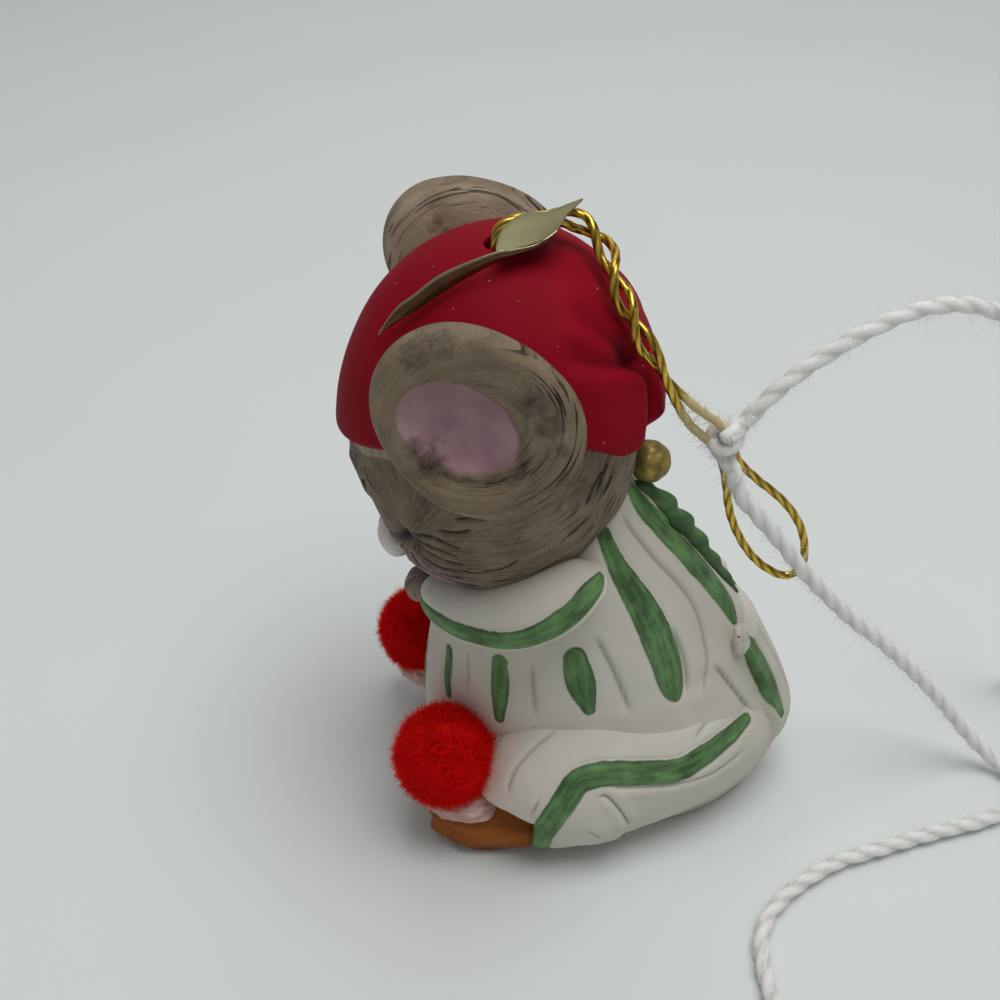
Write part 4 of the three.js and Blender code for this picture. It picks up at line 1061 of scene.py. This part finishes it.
def mould_frill():
    """Frill down the spine: a flattened bead that swells and sways with each scallop, thin at its foot."""
    r, q = rings(*MESH["frill"], 0.004, 0.996)
    height = RUFFLE_FOOT + r * (RUFFLE_TOP - RUFFLE_FOOT)
    spine = body_place(np.full_like(r, np.pi / 2), body_share(height))
    beat = 2 * np.pi * RUFFLE_SCALLOPS * r
    end = np.sqrt(1 - (2 * r - 1) ** 6)
    taper = 0.3 + 0.7 * ease(r, 0, 0.85)
    wide = (RUFFLE_WIDE + 0.14 * np.cos(beat) + 0.16 * np.sin(beat / 3)) * end * taper
    proud = (RUFFLE_PROUD + 0.28 * np.cos(beat + 0.6)) * end * taper
    sway = RUFFLE_SWAY * np.sin(beat / 2 + 0.4) * end
    pleat = 0.02 * np.cos(5 * q + np.sin(beat))
    across = sway + wide * (1 + pleat) * np.cos(q)
    grid = spine + np.stack([across, 0.2 + proud * (1 + pleat) * np.sin(q), 0.4 * proud * np.sin(q)], -1)
    groove = 0.15 * ease(pleat, 0, -0.02)
    moulded("spine_frill", grid, GREEN, "ruffle_green", ["back_ruffle"], fold=groove, bare=0 * groove)


mould_frill()

# Head: radial form about one centre, with muzzle, cheeks and brow
HEAD_CENTRE = np.array((0, -8.5, 48))
HEAD = {"side": 14.6, "front": 15.0, "back": 13.2, "up": 18.2, "down": 16.5}
CAP = {"side": 16.0, "front": 17.4, "back": 15.9, "up": 20.9, "down": 20.0}
MUZZLE = (0, -0.66, -0.75)
EAR_WAY = unit(np.array((0.832, -0.182, 0.525)))
EAR_CENTRE = np.array((16.0, -12.0, 58.1))
# Places on the face as turns and angles down from the crown, in degrees
MOUTH_CORNER = way_of(*np.radians((-47, 115)))
SMILE = ((-47, 115), (-62, 123), (-78, 129), (-90, 127))
LASH = ((-69, 101.5), (-74, 104), (-79, 104.3), (-84, 102.6))
HEAD_ARC = 16  # mm to a radian on the head
COAT_ARC = 15  # and in its coat of strokes
FAN_REACH = 5  # mm from the mouth's corner within which the strokes fan out
FAN_ARC = 5.6  # mm to a radian of that fan
STROKE_ACROSS, STROKE_ALONG = 0.42, 9  # mm to a unit of the coat
COAT_SHIFT = 40.0  # units that keep the two sides' strokes from being alike
# Deep strokes of the scoring tool on the cheek, chin and nape: turns, and angles down
DEEP_STROKES = [
    ((-43, -34, -27, -20), (110.5, 108, 109, 111)),
    ((-43.5, -35, -28, -22), (112, 112.5, 113.5, 114.5)),
    ((-44, -35, -27, -20), (113.5, 116, 118, 118)),
    ((-44.5, -38, -29, -18), (115, 120, 122, 121.5)),
    ((-45, -41, -32, -19), (117, 124, 126, 125)),
    ((-47, -45, -38, -28), (121, 129, 131, 130)),
    ((-23, -17, -12), (97, 96, 96)),
    ((-30, -23, -17), (104, 103, 101)),
    ((-14, -6, 1), (122, 121, 116)),
    ((32, 36, 39), (94, 87, 83)),
    ((27, 31, 36), (96, 90, 84)),
    ((37, 41, 43), (97, 91, 86)),
    ((18, 23, 29), (113, 108, 103)),
]
STROKE_WIDTH = 0.2
STROKE_DEPTH = 0.25
CORNER_DEPTH = 0.9
CHIN_FOLD = 0.26
MOUTH_DEPTH = 0.45
LID_RISE, LID_DEPTH = 0.35, 0.3
BARE_BAND = 3.4  # degrees under the brim where the stain leaves bare clay
NOSE_REACH = 18.1
NOSE_RADII = (2.9, 2.1, 2.6)
BRIM_SIDE, BRIM_FRONT, BRIM_BACK = 64, 86, 76  # degrees down from the crown
BRIM_DROOP = {"turn": 42, "spread": 12, "drop": 6}  # the folded tail hangs lower here


def brim_angle(turn):
    """Brim's angle down from the crown: high over the ears, low in front, with a droop at the tail."""
    s = np.sin(turn)
    fore = (BRIM_FRONT - BRIM_SIDE) * np.maximum(-s, 0) ** 2
    aft = (BRIM_BACK - BRIM_SIDE) * np.maximum(s, 0) ** 0.8
    off = left_turn(turn) - BRIM_DROOP["turn"]
    return BRIM_SIDE + (fore + aft) + BRIM_DROOP["drop"] * bell(off, BRIM_DROOP["spread"])


def egg(form, way):
    """Radius of an egg with one size each way."""
    length = np.where(way[..., 1] < 0, form["front"], form["back"])
    height = np.where(way[..., 2] > 0, form["up"], form["down"])
    x, y, z = way[..., 0] / form["side"], way[..., 1] / length, way[..., 2] / height
    return 1 / np.sqrt(x ** 2 + y ** 2 + z ** 2)


def swelling(way, towards, rise, spread):
    """Rise that falls off round a direction as exp of minus the angle's share of the spread."""
    return rise * np.exp(-(1 - way @ unit(np.array(towards, float))) / (1 - np.cos(np.radians(spread))))


def head_radius(way):
    """Egg plus muzzle, two cheeks and a low brow, with a dip over the muzzle."""
    radius = egg(HEAD, way) + swelling(way, MUZZLE, 1.0, 17) + swelling(way, (0, -1, 0), 1.1, 24)
    radius = radius - swelling(way, (0, -0.82, -0.57), 0.7, 10)
    return radius + sum(swelling(way, (0.62 * s, -0.4, -0.68), 1.9, 30) for s in (1, -1))


def angle_to(way, towards):
    """Angle in radians between directions."""
    return np.arccos(np.clip(way @ towards, -1, 1))


def coat_of(way):
    """Stroke coordinates on the head, across and along fur that fans from the mouth and rounds the ear.

    About the ear's direction each point has an angle out and a turn from the mouth corner; near the corner
    the strokes are rays from it, and far from it they are circles round the ear.
    """
    sided = to_left(way)
    first = unit(MOUTH_CORNER - EAR_WAY * (MOUTH_CORNER @ EAR_WAY))
    second = np.cross(EAR_WAY, first)
    out = angle_to(sided, EAR_WAY) * COAT_ARC
    span = np.arccos(MOUTH_CORNER @ EAR_WAY) * COAT_ARC
    run = np.arctan2(sided @ second, sided @ first) * span
    fan = np.arctan2(out - span, FAN_REACH * np.tanh(np.abs(run) / FAN_REACH))
    shift = np.where(way[..., 0] < 0, COAT_SHIFT, 0.0)
    length = np.hypot(run, 0.6 * (out - span)) / STROKE_ALONG
    return np.stack([fan * FAN_ARC / STROKE_ACROSS + shift, length, shift], -1)


def drawn_on_head(sided, places, count):
    """Distance from points of the head to a line through places given by turn and angle down."""
    line = np.array([way_of(*np.radians(place)) for place in places])
    line = unit(through(line, np.linspace(0, 1, count))) * HEAD_ARC
    return reach_to(sided * HEAD_ARC, [(line, np.zeros(count))])[0]


def deep_strokes(sided):
    """How far each point of the head lies in a deep stroke, which thins out to both its ends."""
    t = np.linspace(0, 1, 13)
    width = 0.3 * np.minimum(3 * np.sin(np.pi * t), 1) - 0.3
    strokes = [(HEAD_ARC * way_of(*np.radians([through(turns, t), through(downs, t)])), width)
               for turns, downs in DEEP_STROKES]
    return bell(np.maximum(reach_to(sided * HEAD_ARC, strokes)[0], 0), STROKE_WIDTH)


def mould_head():
    """Head below the cap's inside, with folds of fur pressed in under the chin, a mouth and eyelids."""
    down, turn = rings(*MESH["head"], np.radians(45), np.radians(179.4))
    way = way_of(turn, down)
    sided = to_left(way)
    gap = angle_to(sided, MOUTH_CORNER) * HEAD_ARC
    coat = coat_of(way)
    chin = ease(way[..., 2], -0.45, -0.7) * ease(way[..., 1], -0.1, -0.45)
    fold = np.cos(coat[..., 0] / 2.6)
    mouth = drawn_on_head(sided, SMILE, 25)
    lid = drawn_on_head(sided, LASH, 16)
    stroke = deep_strokes(sided)
    radius = head_radius(way) - CORNER_DEPTH * bell(gap, 1.5) + CHIN_FOLD * chin * fold
    radius += 0.12 * waves(way * COAT_ARC, 6, 21)
    radius -= MOUTH_DEPTH * bell(mouth, 0.35)
    radius += LID_RISE * bell(lid - 0.9, 0.8) - LID_DEPTH * bell(lid, 0.3)
    radius -= STROKE_DEPTH * stroke
    soot = 1.2 * stroke + 0.6 * bell(gap, 1.8) + 0.4 * chin + 0.7 * bell(mouth, 0.5)
    soot = soot + 0.5 * ease(waves(way * COAT_ARC, 8, 22), 0.2, 1) + 1.2 * bell(lid, 0.35)
    tint = 0.55 * chin * ease(gap, 16, 6) + 0.35 * swelling(way, (0, -0.8, -0.6), 1, 22)
    band = np.degrees(down) - brim_angle(turn) - BARE_BAND + 0.8 * waves(way * COAT_ARC, 4, 23)
    bare = 0.85 * ease(np.abs(band), 2.2, 1.4) * ease(way[..., 1], -0.55, -0.75)
    below = ease(angle_to(sided, EAR_WAY) - np.arccos(MOUTH_CORNER @ EAR_WAY), -0.12, 0.06)
    jaw = below * bell(gap, 13)
    score = np.clip(0.3 + 1.6 * jaw + 0.25 * below + 0.6 * ease(way[..., 1], 0.1, 0.6), 0, 1.8)
    moulded("head_fur", HEAD_CENTRE + way * radius[..., None], FUR, "fur_bisque", ["head"], coat=coat,
            smudge=np.clip(soot, 0, 1), tint=np.clip(tint, 0, 1), bare=bare, score=score)


mould_head()

# Nose ball
way = sphere(*MESH["nose"])
nose_centre = HEAD_CENTRE + NOSE_REACH * unit(np.array(MUZZLE)) + (0, 0.1, 0.3)
moulded("nose_ball", lump(nose_centre, NOSE_RADII, way, 0.03 * waves(way * 5, 4, 31)), WHITE,
        "muzzle_white", ["nose"], fold=0 * way[..., 0], bare=0 * way[..., 0])

# Ears: cupped outside and domed inside, with a thick rolled rim
EAR_RADIUS = 9.34
EAR_RIM = {1: (-0.18, -0.3), 2: (-0.14, -1.08), 3: (0.14, 0.13)}  # cos and sin parts of the rim's radius
EAR_THICK = 5.2
EAR_DISH = 3.0
FAR_RIM = (2.1, 0.7)  # the right ear is fuller behind and narrower in front by these
# Pink oval in the cup: middle (y and z from the ear's), half length and width, cos and sin of its lean
OVAL_MIDDLE = (-2, -0.3)
OVAL_HALF = (6.1, 3.9)
OVAL_LEAN = (0.82, 0.57)
OVAL_STEP = 0.5
# Sooty dabs in the cup and on the back of an ear: y, z, size, strength
EAR_SPOTS = [
    (-5.6, -2.0, 1.4, 0.75), (-4.6, -3.4, 1.8, 0.9), (4.2, 2.6, 2.0, 0.75), (5.6, 0.4, 1.9, 0.65),
    (6.8, -2.0, 1.6, 0.5), (-5.5, 7.3, 2.0, 0.6), (-3.4, 8.6, 2.0, 0.6),
]
BACK_SPOTS = [(-3.3, 5.4, 1.1, 0.8), (-2.3, 4.5, 1.0, 0.7), (-3, 2.7, 0.9, 0.55), (3.6, 5.2, 1.3, 0.5)]


def sooted(across, upward, spots):
    """Soot left by dabs of the sponge: the strongest of their round bell shapes."""
    return np.max([much * np.exp(-((across - y) ** 2 + (upward - z) ** 2) / size ** 2)
                   for y, z, size, much in spots], axis=0)


def mould_ear(side, sign):
    """Ear: from the middle of its cup over the rim to the middle of its back.

    The rim's radius is a mean plus cosines and sines of one, two and three turns; the front stands up as
    cos, dishes in, and steps down at the edge of the pink oval.
    """
    p, a = rings(*MESH["ear"], 0.015, np.pi - 0.015)
    r = np.sin(p) ** 0.8
    rim = EAR_RADIUS + sum(c * np.cos(k * a) + s * np.sin(k * a) for k, (c, s) in EAR_RIM.items())
    rim = rim + (sign < 0) * (FAR_RIM[0] * ease(np.cos(a), -0.3, 1) - FAR_RIM[1] * ease(-np.cos(a), 0, 1))
    front = ease(np.cos(p), -0.05, 0.1)
    behind = ease(-np.cos(p), 0.12, 0.4)
    rise = EAR_THICK / 2 * np.sign(np.cos(p)) * np.abs(np.cos(p)) ** 0.6
    depth = rise - EAR_DISH * (1 - r * r) ** 2.4 * front
    across = rim * r * np.cos(a) - 1.5 * (1 - r * r) * front
    upward = rim * r * np.sin(a) + 0.2 * (1 - r * r) * front
    plain = np.stack([depth, across, upward], -1)
    y, z = across - OVAL_MIDDLE[0], upward - OVAL_MIDDLE[1]
    along, beside = OVAL_LEAN[0] * y - OVAL_LEAN[1] * z, OVAL_LEAN[1] * y + OVAL_LEAN[0] * z
    oval = np.sqrt((along / OVAL_HALF[0]) ** 2 + (beside / OVAL_HALF[1]) ** 2) + 0.03 * waves(plain, 3, 42)
    ring = 0.06 * np.cos(9 * r + 2 * np.sin(a)) * ease(r, 0.5, 0.7)
    plain[..., 0] += 0.1 * waves(plain, 5, 41) + front * (ring - OVAL_STEP * ease(oval, 1.08, 0.94))
    out = np.hypot(across, upward)
    coat = np.stack([out / STROKE_ACROSS, 7 / 8 * np.cos(a), 7 / 8 * np.sin(a) + 20 * (sign < 0)], -1)
    tint = (0.7 + 0.25 * ease(upward, 3, -1)) * ease(oval, 1.03, 0.94) * front
    soot = sooted(across, upward, EAR_SPOTS) * front
    soot = np.maximum(soot, sooted(across, upward, BACK_SPOTS) * behind)
    soot = np.maximum(soot, 0.7 * bell(oval - 1.12, 0.1) * ease(upward, -1, -4) * front)
    edge_lines = ease(r, 0.75, 0.92) * ease(across, 1, 5)
    cup_lines = bell(oval - 1.18, 0.12) * ease(across, -3, 1) * ease(upward, 0, -3)
    score = (1 - behind) * (0.2 * ease(oval, 1.0, 1.2) + edge_lines + cup_lines)
    score = np.clip(score + 0.8 * behind * ease(r, 0.7, 0.86), 0, 1)
    bare = behind * (0.85 - 0.4 * ease(waves(plain, 5, 44), -0.2, 0.8))
    moulded(f"{side}_ear_cup", (EAR_CENTRE + plain) * (sign, 1, 1), FUR, "fur_bisque", [f"{side}_ear"],
            coat=coat, smudge=np.clip(soot, 0, 1), tint=tint, bare=bare, score=score)


for side, sign in SIDES:
    mould_ear(side, sign)

# Nightcap: radial shell with a fat rounded brim, creases and a puffed lobe at the back
CAP_LIP = 3.2  # degrees of the brim taken by its round
CAP_CREASES = [((37, 47, 57, 60, 58, 53), (34, 42, 51, 59, 68, 80), 0.85, 1.1),
               ((26, 35, 48, 60), (43, 46, 49, 51), 0.8, 0.9)]
CAP_LOBE = {"turn": 38, "down": 66, "rise": 0.5, "spread": 16}
CAP_DENT = (2.2, -10)
CAP_DENT_DEPTH = 1.4
CREASE_START = 0.35  # share of its depth with which a crease sets in
CREASE_OPENING = 5  # mm over which it opens to the whole
CREASE_BANK = (1.9, 1.3)  # mm from a crease where the cloth swells, and over how much
BOBBLE_PLACE = (90, 110)  # turn and angle down from the crown, in degrees
BOBBLE_RADIUS = 2.25
BOBBLE_REACH = 2.1


def mould_cap():
    """Cap from its crown over the brim's round and up its inside; creases are grooves along lines on it."""
    share, turn = rings(*MESH["cap"], 0.008, 1.0)
    limit = np.radians(brim_angle(turn))
    lip = np.radians(CAP_LIP)
    way = way_of(turn, share * (limit - lip))
    sided = to_left(way)
    radius = egg(CAP, way)
    fold = np.zeros_like(radius)
    puff = np.zeros_like(radius)
    for turns, downs, groove, wide in CAP_CREASES:
        line = way_of(np.radians(through(turns, SPANS)), np.radians(through(downs, SPANS))) * CAP["side"]
        gap, run, _ = reach_to(sided * CAP["side"], [(line, 0 * SPANS)])
        open_up = CREASE_START + (1 - CREASE_START) * ease(run, 0, CREASE_OPENING)
        puff += groove * (0.35 * bell(gap - CREASE_BANK[0], CREASE_BANK[1]) - open_up * bell(gap, wide))
        # fold: painted shade along each crease, for the cap's material
        fold = np.maximum(fold, 0.6 * open_up * bell(gap, 0.5 * wide))
    lobe = way_of(np.radians(CAP_LOBE["turn"]), np.radians(CAP_LOBE["down"]))
    puff += swelling(sided, lobe, CAP_LOBE["rise"], CAP_LOBE["spread"])
    outer = HEAD_CENTRE + way * (radius + puff + 0.12 * waves(way * HEAD_ARC, 9, 51))[..., None]
    hole = np.hypot(outer[..., 0] - CAP_DENT[0], outer[..., 1] - CAP_DENT[1])
    outer[..., 2] -= CAP_DENT_DEPTH * ease(hole, 1.05, 0.75)
    # and painted shade down the crown hole
    fold = np.maximum(fold, ease(hole, 1.1, 0.85))
    edge_in = head_radius(way_of(turn[0], limit[0])) + SEAM
    edge_out = np.linalg.norm(outer[-1] - HEAD_CENTRE, axis=-1)
    around = np.linspace(0, np.pi, 18)[1:-1, None]
    rounded = (edge_out + edge_in) / 2 + (edge_out - edge_in) / 2 * np.cos(around)
    brim = HEAD_CENTRE + way_of(turn[0], limit[0] - lip + lip * np.sin(around)) * rounded[..., None]
    inside = way_of(turn[0], np.linspace(1, 0.1, 24)[:, None] * (limit[0] - lip))
    inner = HEAD_CENTRE + inside * (head_radius(inside) + SEAM)[..., None]
    none = 0 * brim[..., 0]
    bare = np.concatenate([np.zeros_like(share), ease(around, 1.9, 2.5) + none, np.ones(inner.shape[:2])])
    moulded("nightcap_shell", np.concatenate([outer, brim, inner]), CRIMSON, "cap_crimson", ["nightcap"],
            fold=np.concatenate([fold, none, 0 * inner[..., 0]]), bare=bare)


mould_cap()

# Gilt ball at the nape
way = sphere(*MESH["gilt ball"])
nape_way = way_of(*np.radians(BOBBLE_PLACE))
nape_centre = HEAD_CENTRE + nape_way * (head_radius(nape_way) + BOBBLE_REACH)
moulded("gilt_ball", lump(nape_centre, (BOBBLE_RADIUS,) * 3, way, 0.03 * waves(way * 5, 4, 61)), BRONZE,
        "gold_paint", ["cap_bobble"])

# Paws, slippers, glue and pompoms
PAW_CENTRE = np.array((3.2, -17.9, 30.0))
PAW_RADII = (1.9, 1.9, 2.0)
SLIPPER_CENTRE = np.array((10.9, -9.6, 3.6))
SLIPPER_RADII = np.array((4.7, 8.5, 4.2))
SOLE_LIFT = 0.04  # mm off the table
WELT_HEIGHT = 1.0
BEAD_PLACE = (0, 2.2, -5.3)  # from the pompom's centre
BEAD_RADII = (4.5, 4.9, 2.3)
PILE_FIBRES = 19000
PILE_CORE, PILE_ROOTS = 0.87, 0.86  # shares of the pompom's radius
PILE_LENGTHS = (0.1, 0.2)
PILE_RADIUS = 0.03
PILE_LIFT = 0.2  # mm off the table
FINGERS_PER_UNIT = 2.2


def mould_paw(side, sign):
    """Paw: an egg with three bell-shaped finger grooves on its front."""
    way = sphere(*MESH["paw"])
    off = np.abs(np.mod(way[..., 0] * FINGERS_PER_UNIT + 0.5, 1) - 0.5)
    groove = ease(-way[..., 1], 0.1, 0.7) * bell(off, 0.09)
    rise = 0.04 * waves(way * 4, 3, 71) - 0.16 * groove
    moulded(f"{side}_mitten_paw", lump(PAW_CENTRE * (sign, 1, 1), PAW_RADII, way, rise), PINK, "paw_pink",
            [f"{side}_paw"], fold=0.6 * groove, bare=0 * groove)


def mould_slipper(side, sign):
    """Slipper: an egg whose lower half drops straight to a turned sole, with bare clay along its foot.

    Below the middle each level is widened by sqrt((1 - u^4) / (1 - u^2)), u its share of the way down.
    """
    way = sphere(*MESH["slipper"])
    grid = lump((0, 0, 0), SLIPPER_RADII, way, 0.03 * waves(way * 6, 4, 72))
    fall = np.clip(-grid[..., 2] / SLIPPER_RADII[2], 0, SLIPPER_CENTRE[2] / SLIPPER_RADII[2])
    grid[..., :2] *= np.sqrt((1 - fall ** 4) / (1 - fall ** 2))[..., None]
    grid = grid + SLIPPER_CENTRE
    grid[..., 2] = np.maximum(grid[..., 2], SOLE_LIFT)
    welt = bell(grid[..., 2] - WELT_HEIGHT, 0.22)
    grid -= (0.12 * welt)[..., None] * unit((grid - SLIPPER_CENTRE) * (1, 1, 0))
    bare = ease(grid[..., 2] + 0.12 * waves(grid, 2, 73), 0.6, 0.35)
    moulded(f"{side}_bed_slipper", grid * (sign, 1, 1), OCHRE, "slipper_ochre", [f"{side}_slipper"],
            fold=0.35 * welt, bare=bare)


def set_glue(side, centre):
    """Lumpy bead of glue under a pompom: an egg that rises and dips with two sets of waves."""
    way = sphere(*MESH["glue"])
    rise = 0.08 * waves(way * 5, 3, 75) + 0.04 * waves(way * 5, 1.4, 76)
    grid = lump(np.array(centre) + BEAD_PLACE, BEAD_RADII, way, rise)
    moulded(f"{side}_glue_bead", grid, GLUE, "craft_glue", [f"{side}_pompom_glue"])


def tumble_pompom(side, centre, radius, seed):
    """Pompom: a close core and fine fibres that stand out of it every way, trimmed to a ball."""
    luck = np.random.default_rng(seed)
    around = sphere(*MESH["pompom"])
    core = lump(centre, (radius * PILE_CORE,) * 3, around, 0.008 * waves(around * 6, 2.5, seed))
    way = unit(luck.normal(size=(PILE_FIBRES, 3)))
    shape = 1 + 0.018 * waves(way * radius, 5, seed + 1)
    lean = unit(way + 0.8 * luck.normal(size=(PILE_FIBRES, 3)))
    reach = radius * shape * luck.uniform(*PILE_LENGTHS, PILE_FIBRES)
    roots = np.array(centre) + way * (radius * PILE_ROOTS * shape)[:, None]
    fibres = hairs(roots, lean, reach, PILE_RADIUS, 0.2 * luck.normal(size=(PILE_FIBRES, 3)), steps=1)
    fibres[0][:, 2] = np.maximum(fibres[0][:, 2], PILE_LIFT)
    # shade: a random tone for each fibre, plus painted light on its tip over a darker root
    shade = np.repeat(luck.uniform(0, 0.6, PILE_FIBRES), 6) + np.tile(np.repeat((0, 0.4), 3), PILE_FIBRES)
    piece(f"{side}_pile_pompom", [wrap(core, *poles_of(core)), fibres], PILE, "pompom_fibre",
          replaces=[f"{side}_pompom"], shade=np.concatenate([with_poles(0.5 + 0 * core[..., 0]), shade]))


for side, sign in SIDES:
    mould_paw(side, sign)
    mould_slipper(side, sign)
    set_glue(side, POMPOMS[side][0])
    tumble_pompom(side, *POMPOMS[side], 80 + sign)

# Foil tag: folded lengthwise over the cord, a short upper leaf and a long pointed lower one
TAG_FOLD = [
    (5.0, -4.6, 70.9), (5.5, -5.6, 70.4), (5.8, -6.8, 69.9), (6.2, -8.8, 69.7), (6.5, -10.0, 69.7),
    (6.8, -12.7, 68.9), (7.0, -15.2, 67.8), (7.0, -17.3, 66.1), (6.9, -19.1, 64.6), (6.6, -20.7, 62.0),
]
TAG_HEM = [
    (4.7, -4.7, 70.6), (5.2, -5.7, 70.0), (5.5, -6.9, 69.4), (6.0, -8.9, 68.9), (6.3, -10.3, 68.5),
    (6.9, -12.7, 67.5), (7.4, -15.1, 66.2), (7.5, -17.2, 64.8), (7.2, -19.0, 63.5), (6.6, -20.8, 61.9),
]
TAG_UPPER = [
    [(5.0, -4.6, 70.9), (3.4, -4.0, 71.1), (1.9, -3.2, 71.4), (0.6, -1.9, 71.9)],
    [(5.6, -6.2, 70.15), (3.8, -5.6, 70.75), (2.0, -5.2, 71.2), (0.3, -4.9, 70.7)],
    [(6.1, -8.3, 69.75), (4.3, -8.0, 70.5), (2.4, -7.7, 71.15), (0.8, -7.5, 70.5)],
    [(6.4, -9.6, 69.7), (5.3, -9.5, 70.2), (4.2, -9.4, 70.6), (3.6, -9.3, 70.6)],
    [(6.5, -10.1, 69.7), (6.2, -10.1, 69.8), (5.9, -10.05, 69.9), (5.7, -10.0, 69.9)],
]
FOIL_THICK = 0.16
FOIL_BOW = 0.25


def fold_tag():
    """Two thin leaves that meet along the fold, each spanned by a smooth curve between its edges."""
    s, q = np.linspace(0, 1, 160), np.linspace(0, 1, 24)
    fold, hem = through(TAG_FOLD, s), through(TAG_HEM, s)
    bow = (FOIL_BOW * np.sin(np.pi * q))[None, :, None] * np.array((1, 0, 0))
    lower = fold[:, None] + q[None, :, None] * (hem - fold)[:, None] + bow
    s2, q2 = np.linspace(0, 1, 90), np.linspace(0, 1, 60)
    stations = np.stack([through(row, q2) for row in TAG_UPPER])
    upper = np.stack([through(stations[:, k], s2) for k in range(len(q2))], axis=1)
    upper[..., 2] += 0.03 * waves(upper, 4, 91)
    skins = [leaf(upper, FOIL_THICK), leaf(lower, FOIL_THICK)]
    first_half = (np.arange(2 * len(q2)) < len(q2)).astype(float)
    # near: painted highlight along the lower leaf's fold, for the rim mark
    near = np.concatenate([ease(q, 0.2, 0.1), ease(q[::-1], 0.2, 0.1)])
    upper_back = with_poles(np.broadcast_to(first_half, (len(s2), 2 * len(q2))))
    lower_rim = with_poles(np.broadcast_to(near, (len(s), 2 * len(q))))
    # back is the upper leaf's paper underside, and the whole lower leaf as painted reflection of the cap
    piece("foil_tag", skins, FOIL, "foil_paper", body="tag", replaces=["hang_tag"],
          back=np.concatenate([upper_back, np.ones(len(skins[1][0]))]),
          rim=np.concatenate([np.zeros(len(skins[0][0])), lower_rim]))


fold_tag()

# Floor and light
FLOOR_CORNERS = ((-2, -2), (2, -2), (2, 2), (-2, 2))  # m
FLOOR_DROP = -0.0002
ROOM_LIGHT = 0.27
LIGHT_AIM = Vector((0, 0, 0.03))
LAMPS = (("overhead softbox", (0.07, 0.08, 0.6), 0.45, 2.2), ("back window", (-0.4, 0.05, 0.4), 0.5, 0.4))

floor_mesh = bpy.data.meshes.new("floor")
floor_mesh.from_pydata([(x, y, FLOOR_DROP) for x, y in FLOOR_CORNERS], [], [(0, 1, 2, 3)])
floor_mesh.materials.append(pale_card())
floor = bpy.data.objects.new("floor", floor_mesh)
bpy.context.scene.collection.objects.link(floor)

world = bpy.data.worlds.new("soft room")
world.use_nodes = True
world.node_tree.nodes["Background"].inputs["Color"].default_value = hue("#eef3f4")
world.node_tree.nodes["Background"].inputs["Strength"].default_value = ROOM_LIGHT
bpy.context.scene.world = world
for name, place, size, power in LAMPS:
    lamp = bpy.data.lights.new(name, "AREA")
    lamp.shape = "DISK"
    lamp.size = size
    lamp.energy = power
    light = bpy.data.objects.new(name, lamp)
    light.location = place
    light.rotation_euler = (Vector(place) - LIGHT_AIM).to_track_quat("Z", "Y").to_euler()
    bpy.context.scene.collection.objects.link(light)
